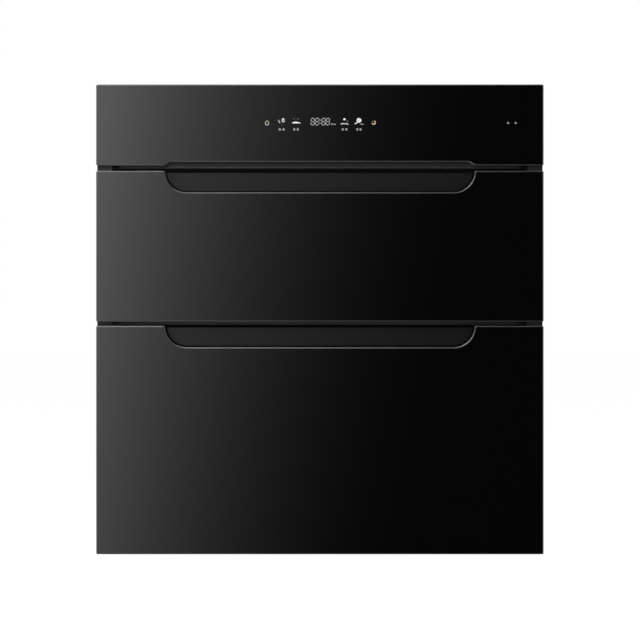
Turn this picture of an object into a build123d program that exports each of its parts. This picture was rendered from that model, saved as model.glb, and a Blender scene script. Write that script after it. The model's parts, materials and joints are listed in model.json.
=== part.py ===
from build123d import *
from math import cos, radians, sqrt, tan
import os

os.makedirs("parts", exist_ok=True)

# Built-in dish sterilizer cabinet: a glass control panel over two drawers that run on
# three-member ball slides. Millimetres, +Z up. The front glass faces -Y, X is 0 in the
# middle of the front, Y is 0 half way through the overall depth, and the feet stand on Z 0.

# Front glass, from the bottom up
front_width = 595
front_lift = 1  # the lowest glass edge above the feet
lower_height = 303.7
drawer_gap = 5.6
upper_height = 200.5
control_gap = 7.2
control_height = 107.7
glass_thickness = 5
glass_corner = 2
glass_bevel = 1.5

# Finger cut-outs in the drawer glass, and the notch above the upper one
pull_side = 91.5  # from the end of the glass to the cut-out
pull_depth = 28.5
pull_corner = 2.3
notch_overlap = 3  # how far the notch runs past each end of the cut-out
notch_height = 4.7
notch_run = 14  # length of the S-curve at each end of the notch

# Depth, from the front glass to the end of the cable gland
overall_depth = 430
pan_depth = 20
seal_thickness = 4
seal_clearance = 0.3
frame_thickness = 1.5
cover_thickness = 1
gland_reach = 18

# Sheet metal
sheet = 1
casing_step = 19.5  # how far the front stands past each side of the casing
casing_top = 594
foot_height = 12
lip_width = 12

# Chambers
chamber_side_gap = 19  # insulation between the casing and a chamber
chamber_margin = 14  # from the edge of a door pan to the opening it covers
lower_floor = 28
upper_rear_depth = 56  # behind the upper chamber, for the fan and its motor
lower_rear_depth = 18
liner_lip = 8

# Door pans, seals and finger troughs
pan_inset = 4
bond_width = 9
press_depth = 2
press_margin = 42
seal_offset = 2
seal_width = 8
seal_corner = 8
trough_wall = 1.6
trough_overhang = 6  # how far the trough runs past each end of the cut-out
trough_sink = 14  # depth of the trough below the cut-out
trough_drop = 5
trough_round = 8.5
lip_drop = 2
plate_gap = 2.1  # between the outline of the cut-out and the finger plate behind it
plate_drop = 1.3
plate_rise = 6
plate_edge = 1

# Slides
slide_end_gap = 16  # from the back end of a slide to the back of the upper chamber
slide_rise = 30  # centre line of a slide above the chamber floor
slide_start = 14  # from the back of the door pan to the front end of a slide
slide_overlap = 10  # what is left of the slide's length at full travel
slide_sheet = 1.2
ball_radius = 2
race_clearance = 0.05
ball_depth = 8.2  # centre of the balls from the chamber wall
ball_row = 16.2  # height of the outer balls over the centre line
middle_web = 3.2
inner_web = 9.6
fold_width = 2
cage_sheet = 0.5
cage_offset = 1.2
cage_reach = 0.7
cage_gap = 0.35
balls_per_row = 2
slide_hole_radius = 2.25
slide_hole_inset = 30

# Drawer brackets and racks
bracket_sheet = 2
bracket_height = 16
ledge_width = 12
ear_width = 28
ear_height = 40
wire_radius = 2
rod_radius = 1.6
wire_sides = 4
round_sides = 12  # faces of small round pieces that only the inside shows
rack_clearance = 1.5
rack_front_gap = 5
upper_rack_gap = 32  # from a rack to the back of its chamber
lower_rack_gap = 50
upper_wall = 62
lower_wall = 54
rod_count = 11
hairpin_count = 5
hairpin_height = 88
hairpin_span = 150
hairpin_bend = 22
tray_width = 92
tray_height = 46
tray_wall = 1.6

# Hot-air unit behind the upper chamber
fan_x = -70
fan_drop = 77.8  # centre of the fan below the roof of the upper chamber
fan_wheel_radius = 42
fan_wheel_width = 22
fan_blade_depth = 9
fan_blade_count = 12
fan_blade_sheet = 1
fan_hub_radius = 8
fan_inlet_radius = 29
fan_shell_radius = 50
fan_shell_depth = 30
fan_shell_wall = 1.5
fan_gap = 2
shaft_radius = 2
shaft_clearance = 0.05
shaft_engagement = 15
motor_radius = 24
motor_length = 20
duct_length = 150
duct_height = 40
heater_length = 30
heater_offset = 62
heater_slot_width = 3.4
heater_slot_count = 4

# Levels and stations that follow from the sizes above
lower_bottom = front_lift
lower_top = lower_bottom + lower_height
upper_bottom = lower_top + drawer_gap
upper_top = upper_bottom + upper_height
control_bottom = upper_top + control_gap
control_top = control_bottom + control_height

glass_front = -overall_depth / 2
glass_back = glass_front + glass_thickness
pan_back = glass_back + pan_depth
flange_front = pan_back + seal_thickness + seal_clearance
flange_back = flange_front + frame_thickness
cover_back = overall_depth / 2 - gland_reach
cover_front = cover_back - cover_thickness

lower_roof = lower_top - pan_inset - chamber_margin
upper_floor = upper_bottom + pan_inset + chamber_margin
upper_roof = upper_top - pan_inset - chamber_margin
fan_level = upper_roof - fan_drop

pan_width = front_width - 2 * pan_inset
pull_width = front_width - 2 * pull_side
notch_width = pull_width + 2 * notch_overlap
casing_width = front_width - 2 * casing_step
casing_half = casing_width / 2
chamber_width = casing_width - 2 * chamber_side_gap
chamber_half = chamber_width / 2
upper_chamber_back = cover_front - upper_rear_depth
lower_chamber_back = cover_front - lower_rear_depth
upper_rack_back = upper_chamber_back - upper_rack_gap
lower_rack_back = lower_chamber_back - lower_rack_gap


def facing_front(y):
    """A plane at depth y whose normal points out of the front, with X to the right and Z up."""
    return Plane.XZ.offset(-y)


# ---- front glass ----------------------------------------------------------------------

with BuildPart() as control_glass:
    with BuildSketch(facing_front(glass_back)) as outline:
        with BuildLine():
            top_edge = Line((0, control_top), (front_width / 2, control_top))
            side_edge = Line(top_edge @ 1, (front_width / 2, control_bottom))
            sill = Line(side_edge @ 1, (notch_width / 2, control_bottom))
            half_way = ((notch_width - notch_run) / 2, control_bottom + notch_height / 2)
            notch_end = (notch_width / 2 - notch_run, control_bottom + notch_height)
            rise = TangentArc(sill @ 1, half_way, tangent=(-1, 0))
            ease = TangentArc(half_way, notch_end, tangent=rise % 1)
            Line(ease @ 1, (0, control_bottom + notch_height))
            mirror(about=Plane.YZ)
        make_face()
        sides = outline.vertices().group_by(Axis.X)
        fillet(sides[0] + sides[-1], glass_corner)
    extrude(amount=glass_thickness)
    chamfer(control_glass.faces().sort_by(Axis.Y)[0].edges(), glass_bevel)
control_glass.part.label = "control_glass"
export_step(control_glass.part, "parts/control_glass.step")


def drawer_glass(bottom, top):
    """A drawer's glass front with the finger cut-out in its top edge."""
    with BuildPart() as glass:
        with BuildSketch(facing_front(glass_back)) as outline:
            with Locations((0, (bottom + top) / 2)):
                Rectangle(front_width, top - bottom)
            fillet(outline.vertices(), glass_corner)
            with Locations((0, top)):
                SlotOverall(pull_width, 2 * pull_depth, mode=Mode.SUBTRACT)
            top_points = outline.vertices().group_by(Axis.Y)[-1].sort_by(Axis.X)
            fillet(top_points[1:3], pull_corner)
        extrude(amount=glass_thickness)
        chamfer(glass.faces().sort_by(Axis.Y)[0].edges(), glass_bevel)
    return glass


upper_glass = drawer_glass(upper_bottom, upper_top)
upper_glass.part.label = "upper_glass"
export_step(upper_glass.part, "parts/upper_glass.step")

lower_glass = drawer_glass(lower_bottom, lower_top)
lower_glass.part.label = "lower_glass"
export_step(lower_glass.part, "parts/lower_glass.step")


# ---- drawer fronts behind the glass ---------------------------------------------------

trough_back = pan_back - sheet
trough_width = pull_width + 2 * trough_overhang


def door_pan(bottom, top, floor, roof):
    """Pressed steel pan bonded to the back of the glass, with room for the finger trough."""
    height = top - bottom - 2 * pan_inset
    trough_bottom = top - pull_depth - trough_sink
    field_width = chamber_width - 2 * press_margin
    field_height = roof - floor - press_margin
    with BuildPart() as pan:
        with BuildSketch(facing_front(pan_back)):
            with Locations((0, (bottom + top) / 2)):
                Rectangle(pan_width, height)
        extrude(amount=pan_depth)
        offset(amount=-sheet, openings=pan.faces().sort_by(Axis.Y)[0])
        with BuildSketch(facing_front(glass_back + sheet)):
            with Locations((0, (bottom + top) / 2)):
                Rectangle(pan_width, height)
                Rectangle(pan_width - 2 * bond_width, height - 2 * bond_width, mode=Mode.SUBTRACT)
        extrude(amount=sheet)
        # a shallow pressed field stiffens the wall that closes the chamber
        with BuildSketch(facing_front(pan_back + press_depth)):
            with Locations((0, (floor + roof) / 2)):
                Rectangle(field_width, field_height)
        extrude(amount=press_depth)
        with BuildSketch(facing_front(pan_back + press_depth - sheet)):
            with Locations((0, (floor + roof) / 2)):
                Rectangle(field_width - 2 * sheet, field_height - 2 * sheet)
        extrude(amount=press_depth, mode=Mode.SUBTRACT)
        with BuildSketch(facing_front(trough_back)):
            with Locations((0, top)):
                Rectangle(trough_width, 2 * (top - trough_bottom))
        extrude(amount=pan_depth, mode=Mode.SUBTRACT)
    return pan


def finger_trough(top):
    """Moulded trough behind the cut-out: the fingers reach over the glass edge and pull on it."""
    trough_top = top - trough_drop
    trough_bottom = top - pull_depth - trough_sink
    lip_top = top - pull_depth - lip_drop
    middle = (glass_back + trough_back) / 2
    with BuildPart() as trough:
        with BuildSketch(Plane.YZ) as outer:
            with Locations((middle, (trough_bottom + trough_top) / 2)):
                Rectangle(trough_back - glass_back, trough_top - trough_bottom)
            fillet(outer.vertices().group_by(Axis.Y)[0], trough_round)
        extrude(amount=trough_width / 2, both=True)
        with BuildSketch(Plane.YZ) as cavity:
            with Locations((middle, (trough_bottom + trough_top) / 2 + trough_wall)):
                Rectangle(trough_back - glass_back - 2 * trough_wall, trough_top - trough_bottom)
            fillet(cavity.vertices().group_by(Axis.Y)[0], trough_round - trough_wall)
        extrude(amount=trough_width / 2 - trough_wall, both=True, mode=Mode.SUBTRACT)
        with BuildSketch(facing_front(glass_back + trough_wall)):
            with Locations((0, (lip_top + trough_top) / 2)):
                Rectangle(trough_width - 2 * trough_wall, trough_top - lip_top)
        extrude(amount=trough_wall, mode=Mode.SUBTRACT)
        # the plate that shows behind the cut-out, set in from its outline all round
        with BuildSketch(facing_front(trough_back - trough_wall)):
            with Locations((0, top)):
                SlotOverall(pull_width - 2 * plate_gap, 2 * (pull_depth - plate_gap))
            with Locations((0, top - plate_drop + pull_depth)):
                Rectangle(pull_width, 2 * pull_depth, mode=Mode.SUBTRACT)
        extrude(amount=plate_rise)
        plate_top = trough.faces().sort_by(Axis.Z)[-1]
        chamfer(plate_top.edges().sort_by(Axis.Y)[0], plate_edge)
    return trough


def door_seal(floor, roof):
    """Silicone ring on the pan that closes on the front frame around the chamber opening."""
    inner = 2 * seal_offset
    outer = inner + 2 * seal_width
    with BuildPart() as seal:
        with BuildSketch(facing_front(pan_back + seal_thickness)):
            with Locations((0, (floor + roof) / 2)):
                RectangleRounded(chamber_width + outer, roof - floor + outer, seal_corner)
                Rectangle(chamber_width + inner, roof - floor + inner, mode=Mode.SUBTRACT)
        extrude(amount=seal_thickness)
    return seal


upper_door_pan = door_pan(upper_bottom, upper_top, upper_floor, upper_roof)
upper_door_pan.part.label = "upper_door_pan"
export_step(upper_door_pan.part, "parts/upper_door_pan.step")

lower_door_pan = door_pan(lower_bottom, lower_top, lower_floor, lower_roof)
lower_door_pan.part.label = "lower_door_pan"
export_step(lower_door_pan.part, "parts/lower_door_pan.step")

upper_pull = finger_trough(upper_top)
upper_pull.part.label = "upper_pull"
export_step(upper_pull.part, "parts/upper_pull.step")

lower_pull = finger_trough(lower_top)
lower_pull.part.label = "lower_pull"
export_step(lower_pull.part, "parts/lower_pull.step")

upper_seal = door_seal(upper_floor, upper_roof)
upper_seal.part.label = "upper_seal"
export_step(upper_seal.part, "parts/upper_seal.step")

lower_seal = door_seal(lower_floor, lower_roof)
lower_seal.part.label = "lower_seal"
export_step(lower_seal.part, "parts/lower_seal.step")


# ---- cabinet front --------------------------------------------------------------------

frame_inset = 3
fixing_radius = 2.25
fixing_edge = 11
fixing_low = 160
fixing_high = 420
sensor_hole_radius = 4
sensor_x = (casing_half - sheet + chamber_half + liner_lip + sheet) / 2
sensor_drop = 22
wiring_slot_width = 60
wiring_slot_height = 14
control_rise = 56.6  # middle of the display above the lower edge of its glass
control_middle = control_bottom + control_rise
frame_bottom = lower_bottom + frame_inset
frame_top = control_top - frame_inset
frame_width = front_width - 2 * frame_inset
fixing_x = front_width / 2 - fixing_edge

with BuildPart() as front_frame:
    with BuildSketch(facing_front(flange_back)):
        with Locations((0, (frame_bottom + frame_top) / 2)):
            Rectangle(frame_width, frame_top - frame_bottom)
        with Locations((0, (upper_floor + upper_roof) / 2)):
            Rectangle(chamber_width, upper_roof - upper_floor, mode=Mode.SUBTRACT)
        with Locations((0, (lower_floor + lower_roof) / 2)):
            Rectangle(chamber_width, lower_roof - lower_floor, mode=Mode.SUBTRACT)
        with Locations((0, control_middle)):
            Rectangle(wiring_slot_width, wiring_slot_height, mode=Mode.SUBTRACT)
        with Locations(*[(x, z) for x in (-fixing_x, fixing_x) for z in (fixing_low, fixing_high)]):
            Circle(fixing_radius, mode=Mode.SUBTRACT)
        with Locations((-sensor_x, upper_roof - sensor_drop), (-sensor_x, lower_roof - sensor_drop)):
            RegularPolygon(sensor_hole_radius, 8, mode=Mode.SUBTRACT)
    extrude(amount=frame_thickness)
front_frame.part.label = "front_frame"
export_step(front_frame.part, "parts/front_frame.step")

# Ribbed strips that close the gaps between the glass panels
trim_setback = 4
trim_side_inset = 1
trim_wall = 2
trim_clearance = 0.8
upper_trim_lift = 3.1
lower_trim_lift = 1.7
rib_height = 1.4
rib_reach = 1.5
rib_pitch = 4
rib_start = 1.8  # first rib above the lower edge
end_block_length = 20
end_block_rise = 1.5
end_pocket_length = 10.6
end_pocket_depth = 10
trim_front = glass_back + trim_setback
trim_half = front_width / 2 - trim_side_inset


def gap_trim(bottom, top, ribs):
    """Channel across the cabinet with ribs along its face and a raised block at each end."""
    with BuildPart() as trim:
        with BuildSketch(Plane.YZ):
            with Locations(((trim_front + flange_front) / 2, (bottom + top) / 2)):
                Rectangle(flange_front - trim_front, top - bottom)
        extrude(amount=trim_half, both=True)
        with BuildSketch(Plane.YZ):
            with Locations(((trim_front + flange_front) / 2 + trim_wall, (bottom + top) / 2)):
                Rectangle(flange_front - trim_front, top - bottom - 2 * trim_wall)
        extrude(amount=trim_half - trim_wall, both=True, mode=Mode.SUBTRACT)
        with BuildSketch(Plane.YZ):
            with Locations(*[(trim_front, bottom + rib_start + rib * rib_pitch) for rib in range(ribs)]):
                Rectangle(2 * rib_reach, rib_height)
        extrude(amount=trim_half - end_block_length, both=True)
        with BuildSketch(facing_front(trim_front)):
            with Locations((0, (bottom + top) / 2)):
                with GridLocations(2 * trim_half - end_block_length, 0, 2, 1):
                    Rectangle(end_block_length, top - bottom)
        extrude(amount=end_block_rise)
        # a deep recess beside each end block
        with BuildSketch(facing_front(trim_front + end_pocket_depth)):
            with Locations((0, (bottom + top) / 2)):
                with GridLocations(2 * (trim_half - end_block_length) - end_pocket_length, 0, 2, 1):
                    Rectangle(end_pocket_length, top - bottom)
        extrude(amount=end_pocket_depth + rib_reach, mode=Mode.SUBTRACT)
    return trim


upper_trim_bottom = upper_top + upper_trim_lift
upper_trim_top = control_bottom + notch_height + trim_wall
upper_gap_trim = gap_trim(upper_trim_bottom, upper_trim_top, 2)
upper_gap_trim.part.label = "upper_gap_trim"
export_step(upper_gap_trim.part, "parts/upper_gap_trim.step")

lower_trim_bottom = lower_top + lower_trim_lift
lower_trim_top = upper_bottom + pan_inset - trim_clearance
lower_gap_trim = gap_trim(lower_trim_bottom, lower_trim_top, 2)
lower_gap_trim.part.label = "lower_gap_trim"
export_step(lower_gap_trim.part, "parts/lower_gap_trim.step")

# Control panel: housing, board and the light guides under the glass
housing_wall = 2
board_side_gap = 8
board_width = casing_width - 2 * board_side_gap
board_height = 42
board_thickness = 1.6
chip_left = 60
chip_right = 70
guide_depth = 5
pillar_radius = 3
pillar_pitch_x = 250
pillar_pitch_z = 30
housing_bottom = upper_trim_top
housing_top = control_top - pan_inset
board_front = glass_back + guide_depth
board_back = board_front + board_thickness

with BuildPart() as control_housing:
    with BuildSketch(facing_front(flange_front)):
        with Locations((0, (housing_bottom + housing_top) / 2)):
            Rectangle(pan_width, housing_top - housing_bottom)
    extrude(amount=flange_front - glass_back)
    offset(amount=-housing_wall, openings=control_housing.faces().sort_by(Axis.Y)[0])
    with BuildSketch(facing_front(flange_front - housing_wall)):
        with Locations((0, control_middle)):
            with GridLocations(pillar_pitch_x, pillar_pitch_z, 3, 2):
                RegularPolygon(pillar_radius, 6)
    extrude(amount=flange_front - housing_wall - board_back)
    with BuildSketch(facing_front(flange_front)):
        with Locations((0, control_middle)):
            Rectangle(wiring_slot_width, wiring_slot_height)
    extrude(amount=housing_wall, mode=Mode.SUBTRACT)
control_housing.part.label = "control_housing"
export_step(control_housing.part, "parts/control_housing.step")

with BuildPart() as control_board:
    with BuildSketch(facing_front(board_back)):
        with Locations((0, control_middle)):
            Rectangle(board_width, board_height)
    extrude(amount=board_thickness)
    # driver chips and the plug for the loom stand on the back of the board
    with BuildSketch(facing_front(board_back + 2)):
        with Locations((-chip_left, control_middle), (chip_right, control_middle)):
            Rectangle(16, 10)
    extrude(amount=2)
    with BuildSketch(facing_front(board_back + 8)):
        with Locations((0, control_middle)):
            Rectangle(30, 8)
    extrude(amount=8)
control_board.part.label = "control_board"
export_step(control_board.part, "parts/control_board.step")

digit_block = (34, 14)
icon_block = (50, 20)
icon_offset = 50
lamp_block = (20, 8)
lamp_x = 255

with BuildPart() as display_lights:
    with BuildSketch(facing_front(board_front)):
        with Locations((0, control_middle)):
            Rectangle(*digit_block)
        with Locations((-icon_offset, control_middle), (icon_offset, control_middle)):
            Rectangle(*icon_block)
        with Locations((lamp_x, control_middle)):
            Rectangle(*lamp_block)
    extrude(amount=guide_depth)
display_lights.part.label = "display_lights"
export_step(display_lights.part, "parts/display_lights.step")


# ---- casing ---------------------------------------------------------------------------

vent_length = 34
vent_width = 4
vent_pitch = 9
vent_count = 5
screw_shank = 1.6
screw_head = 3.6
screw_head_height = 2.2
screw_length = 9
screw_inset = 7
casing_mid_depth = (flange_back + cover_front) / 2
screw_x = casing_half - screw_inset
screw_levels = [foot_height + 60, casing_top - 100]
screw_top = casing_top - screw_inset
screw_top_gap = 128
screw_top_x = casing_half - screw_top_gap
screw_points = [(x, z) for x in (-screw_x, screw_x) for z in screw_levels]
screw_points += [(x, screw_top) for x in (-screw_top_x, screw_top_x)]

with BuildPart() as outer_casing:
    with BuildSketch(facing_front(cover_front)):
        with BuildLine():
            edge = casing_half - sheet / 2
            roof_line = casing_top - sheet / 2
            Polyline((-edge, foot_height), (-edge, roof_line), (edge, roof_line), (edge, foot_height))
        trace(line_width=sheet)
    extrude(amount=cover_front - flange_back)
    # lips folded in behind, which take the cover's screws
    with BuildSketch(facing_front(cover_front)):
        with Locations((0, (foot_height + casing_top) / 2)):
            Rectangle(casing_width - 2 * sheet, casing_top - foot_height - 2 * sheet)
        with Locations((0, (foot_height + casing_top) / 2 - lip_width - sheet)):
            Rectangle(
                casing_width - 2 * sheet - 2 * lip_width, casing_top - foot_height, mode=Mode.SUBTRACT
            )
        with Locations(*screw_points):
            RegularPolygon(screw_shank, 8, mode=Mode.SUBTRACT)
    extrude(amount=sheet)
    with BuildSketch(Plane.YZ):
        with Locations((casing_mid_depth + 90, casing_top - 40)):
            with GridLocations(0, vent_pitch, 1, vent_count):
                Rectangle(vent_length, vent_width)
    extrude(amount=casing_half, both=True, mode=Mode.SUBTRACT)
outer_casing.part.label = "outer_casing"
export_step(outer_casing.part, "parts/outer_casing.step")

base_flange = 14
base_front = flange_back + 2 * sheet
base_back = cover_front - sheet
base_width = casing_width - 2 * sheet
rib_slot_length = 240
rib_slot_width = 16
rib_slot_pitch = (base_width - 34) / 4
press_rise = 4

with BuildPart() as base_pan:
    with BuildSketch(Plane.XY.offset(foot_height)):
        with Locations((0, (base_front + base_back) / 2)):
            Rectangle(base_width, base_back - base_front)
    extrude(amount=base_flange)
    offset(amount=-sheet, openings=base_pan.faces().sort_by(Axis.Z)[-1])
    # pressed ribs, raised inside and hollow underneath
    with BuildSketch(Plane.XY.offset(foot_height)):
        with Locations((0, (base_front + base_back) / 2)):
            with GridLocations(rib_slot_pitch, 0, 4, 1):
                Rectangle(rib_slot_width, rib_slot_length)
    extrude(amount=press_rise + sheet)
    with BuildSketch(Plane.XY.offset(foot_height)):
        with Locations((0, (base_front + base_back) / 2)):
            with GridLocations(rib_slot_pitch, 0, 4, 1):
                Rectangle(rib_slot_width - 2 * sheet, rib_slot_length - 2 * sheet)
    extrude(amount=press_rise, mode=Mode.SUBTRACT)
base_pan.part.label = "base_pan"
export_step(base_pan.part, "parts/base_pan.step")

foot_radius = 16
foot_sides = 16
foot_inset_x = 37
foot_inset_y = 38.6
foot_spacing_x = base_width - 2 * foot_inset_x
foot_spacing_y = base_back - base_front - 2 * foot_inset_y
with BuildPart() as rubber_feet:
    with BuildSketch(Plane.XY):
        with Locations((0, (base_front + base_back) / 2)):
            with GridLocations(foot_spacing_x, foot_spacing_y, 2, 2):
                RegularPolygon(foot_radius, foot_sides)
    extrude(amount=foot_height)
rubber_feet.part.label = "rubber_feet"
export_step(rubber_feet.part, "parts/rubber_feet.step")

# Back cover with louvres beside the fan and the hole for the cable gland
louvre_length = 70
louvre_width = 9
louvre_rise = 4
louvre_pitch = 16
louvre_count = 3
louvre_level = 420
louvre_column_pitch = 110
gland_x = casing_half - 78
gland_level = 545
gland_thread = 10
gland_bore = 4
gland_hex = 12
gland_hex_depth = 6
gland_dome_radius = 10
nut_depth = 5
gland_inside = 9

with BuildPart() as back_cover:
    with BuildSketch(facing_front(cover_back)):
        with Locations((0, (foot_height + casing_top) / 2)):
            Rectangle(casing_width - 2 * sheet, casing_top - foot_height - 2 * sheet)
        with Locations(*screw_points):
            RegularPolygon(screw_shank, 8, mode=Mode.SUBTRACT)
        with Locations((gland_x, gland_level)):
            RegularPolygon(gland_thread, round_sides, mode=Mode.SUBTRACT)
    extrude(amount=cover_thickness)
    # each louvre is a pressed hood, open at its lower side
    for column in (-louvre_column_pitch / 2, louvre_column_pitch / 2):
        for row in range(louvre_count):
            level = louvre_level + (row - (louvre_count - 1) / 2) * louvre_pitch
            with BuildSketch(Plane.YZ.offset(column - louvre_length / 2)):
                with BuildLine():
                    Polyline(
                        (cover_back, level + louvre_width / 2),
                        (cover_back + louvre_rise, level - louvre_width / 2),
                        (cover_back, level - louvre_width / 2),
                        close=True,
                    )
                make_face()
            extrude(amount=louvre_length)
            with BuildSketch(Plane.YZ.offset(column - louvre_length / 2 + sheet)):
                with BuildLine():
                    Polyline(
                        (cover_back - cover_thickness, level + louvre_width / 2),
                        (cover_back + louvre_rise - sheet, level - louvre_width / 2),
                        (cover_back - cover_thickness, level - louvre_width / 2),
                        close=True,
                    )
                make_face()
            extrude(amount=louvre_length - 2 * sheet, mode=Mode.SUBTRACT)
back_cover.part.label = "back_cover"
export_step(back_cover.part, "parts/back_cover.step")

with BuildPart() as cover_screws:
    with BuildSketch(facing_front(cover_back)):
        with Locations(*screw_points):
            RegularPolygon(screw_shank, 8)
    extrude(amount=screw_length)
    with BuildSketch(facing_front(cover_back + screw_head_height)):
        with Locations(*screw_points):
            RegularPolygon(screw_head, 6)
    extrude(amount=screw_head_height)
cover_screws.part.label = "cover_screws"
export_step(cover_screws.part, "parts/cover_screws.step")

gland_axis = Plane(origin=(gland_x, cover_back, gland_level), z_dir=(0, 1, 0))
with BuildPart() as cable_gland:
    with BuildSketch(gland_axis):
        RegularPolygon(gland_hex, 6, major_radius=False)
    extrude(amount=gland_hex_depth)
    with BuildSketch(gland_axis.offset(gland_hex_depth)):
        RegularPolygon(gland_dome_radius, round_sides)
    extrude(amount=gland_reach - gland_hex_depth)
    chamfer(cable_gland.faces().sort_by(Axis.Y)[-1].edges(), gland_dome_radius / 3)
    with BuildSketch(gland_axis.offset(-cover_thickness - gland_inside)):
        RegularPolygon(gland_thread, round_sides)
    extrude(amount=gland_inside + cover_thickness)
    with BuildSketch(gland_axis.offset(-cover_thickness - nut_depth)):
        RegularPolygon(gland_hex, 6, major_radius=False)
    extrude(amount=nut_depth)
    with BuildSketch(gland_axis.offset(-cover_thickness - gland_inside)):
        Circle(gland_bore)
    extrude(amount=gland_inside + cover_thickness + gland_reach, mode=Mode.SUBTRACT)
cable_gland.part.label = "cable_gland"
export_step(cable_gland.part, "parts/cable_gland.step")


# ---- chambers -------------------------------------------------------------------------

air_slot_width = 5
air_slot_length = 54
air_slot_pitch = 9
air_slot_count = 6
outlet_slot_length = 30
outlet_slot_count = 4
probe_radius = 4
probe_drop = 30
probe_x = chamber_half - 44
outlet_x = fan_x + duct_length - (outlet_slot_count * air_slot_pitch) / 2 - 6


def liner_box(floor, roof, back):
    """Folded steel chamber, open at the front, with a lip that seats behind the front frame."""
    with BuildPart() as box:
        with BuildSketch(facing_front(back + sheet)):
            with Locations((0, (floor + roof) / 2)):
                Rectangle(chamber_width + 2 * sheet, roof - floor + 2 * sheet)
        extrude(amount=back + sheet - flange_back)
        with BuildSketch(facing_front(flange_back + sheet)):
            with Locations((0, (floor + roof) / 2)):
                Rectangle(chamber_width + 2 * liner_lip, roof - floor + 2 * liner_lip)
        extrude(amount=sheet)
        with BuildSketch(facing_front(back)):
            with Locations((0, (floor + roof) / 2)):
                Rectangle(chamber_width, roof - floor)
        extrude(amount=back - flange_back, mode=Mode.SUBTRACT)
        with BuildSketch(facing_front(back + sheet)):
            with Locations((probe_x, roof - probe_drop)):
                RegularPolygon(probe_radius, round_sides)
        extrude(amount=sheet, mode=Mode.SUBTRACT)
    return box


with BuildPart() as upper_liner:
    add(liner_box(upper_floor, upper_roof, upper_chamber_back).part)
    # slots for the air that the fan draws in and for the warm air that it sends back
    with BuildSketch(facing_front(upper_chamber_back + sheet)):
        with Locations((fan_x, fan_level)):
            with GridLocations(air_slot_pitch, 0, air_slot_count, 1):
                Rectangle(air_slot_width, air_slot_length)
        with Locations((outlet_x, fan_level + (fan_shell_radius - duct_height / 2))):
            with GridLocations(air_slot_pitch, 0, outlet_slot_count, 1):
                Rectangle(air_slot_width, outlet_slot_length)
    extrude(amount=sheet, mode=Mode.SUBTRACT)
upper_liner.part.label = "upper_liner"
export_step(upper_liner.part, "parts/upper_liner.step")

lower_liner = liner_box(lower_floor, lower_roof, lower_chamber_back)
lower_liner.part.label = "lower_liner"
export_step(lower_liner.part, "parts/lower_liner.step")

probe_inside = 18
probe_outside = 12
probe_flange_radius = 8
probe_flange_depth = 2
with BuildPart() as temperature_probes:
    for roof, back in ((upper_roof, upper_chamber_back), (lower_roof, lower_chamber_back)):
        with BuildSketch(facing_front(back + probe_outside)):
            with Locations((probe_x, roof - probe_drop)):
                RegularPolygon(probe_radius, round_sides)
        extrude(amount=probe_outside + probe_inside)
        with BuildSketch(facing_front(back + sheet + probe_flange_depth)):
            with Locations((probe_x, roof - probe_drop)):
                RegularPolygon(probe_flange_radius, 6)
        extrude(amount=probe_flange_depth)
temperature_probes.part.label = "temperature_probes"
export_step(temperature_probes.part, "parts/temperature_probes.step")

# Magnets in the door pans and the reed switches that sense them through the front frame
switch_size = (8, 24, 7)
magnet_size = (9, 22, 6)
with BuildPart() as reed_switches:
    with BuildSketch(facing_front(flange_back + switch_size[2])):
        with Locations((-sensor_x, upper_roof - sensor_drop), (-sensor_x, lower_roof - sensor_drop)):
            Rectangle(switch_size[0], switch_size[1])
    extrude(amount=switch_size[2])
reed_switches.part.label = "reed_switches"
export_step(reed_switches.part, "parts/reed_switches.step")


def door_magnet(roof):
    """Magnet glued inside the door pan, opposite the reed switch."""
    with BuildPart() as magnet:
        with BuildSketch(facing_front(trough_back)):
            with Locations((-sensor_x, roof - sensor_drop)):
                Rectangle(magnet_size[0], magnet_size[1])
        extrude(amount=magnet_size[2])
    return magnet


upper_magnet = door_magnet(upper_roof)
upper_magnet.part.label = "upper_magnet"
export_step(upper_magnet.part, "parts/upper_magnet.step")

lower_magnet = door_magnet(lower_roof)
lower_magnet.part.label = "lower_magnet"
export_step(lower_magnet.part, "parts/lower_magnet.step")


# ---- ball slides ----------------------------------------------------------------------

slide_front = pan_back + slide_start
slide_length = upper_chamber_back - slide_end_gap - slide_front
slide_back = slide_front + slide_length
drawer_travel = slide_length - slide_overlap
slide_middle = (slide_front + slide_back) / 2
upper_slide_level = upper_floor + slide_rise
lower_slide_level = lower_floor + slide_rise
eighth = radians(22.5)
race_flat = ball_radius * cos(eighth) + race_clearance + slide_sheet / 2  # ball centre to race
race_half = race_flat * tan(eighth)
inner_row = ball_row - 2 * race_flat
channel_web = slide_sheet / 2
cage_length = slide_length - drawer_travel / 2 - 5


def slide_plane(side, level):
    """Across a slide: local x runs from the chamber wall into the chamber, local y runs up."""
    return Plane(origin=(side * chamber_half, slide_middle, level), x_dir=(-side, 0, 0), z_dir=(0, side, 0))


def slide_channel(side, level):
    """Outer member on the chamber wall. Its edges are folded round the outer balls in eighths of a turn."""
    with BuildPart() as channel:
        with BuildSketch(slide_plane(side, level)):
            with BuildLine():
                Polyline(
                    (channel_web, 0),
                    (channel_web, ball_row + race_flat),
                    (ball_depth + race_half, ball_row + race_flat),
                    (ball_depth + race_flat, ball_row + race_half),
                    (ball_depth + race_flat, ball_row - race_half),
                )
                mirror(about=Plane.XZ)
            trace(line_width=slide_sheet)
        extrude(amount=slide_length / 2, both=True)
        with BuildSketch(Plane(origin=(side * chamber_half, slide_middle, level), z_dir=(-side, 0, 0))):
            with GridLocations(0, slide_length - 2 * slide_hole_inset, 1, 2):
                RegularPolygon(slide_hole_radius, 8)
        extrude(amount=slide_sheet, mode=Mode.SUBTRACT)
    return channel


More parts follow.
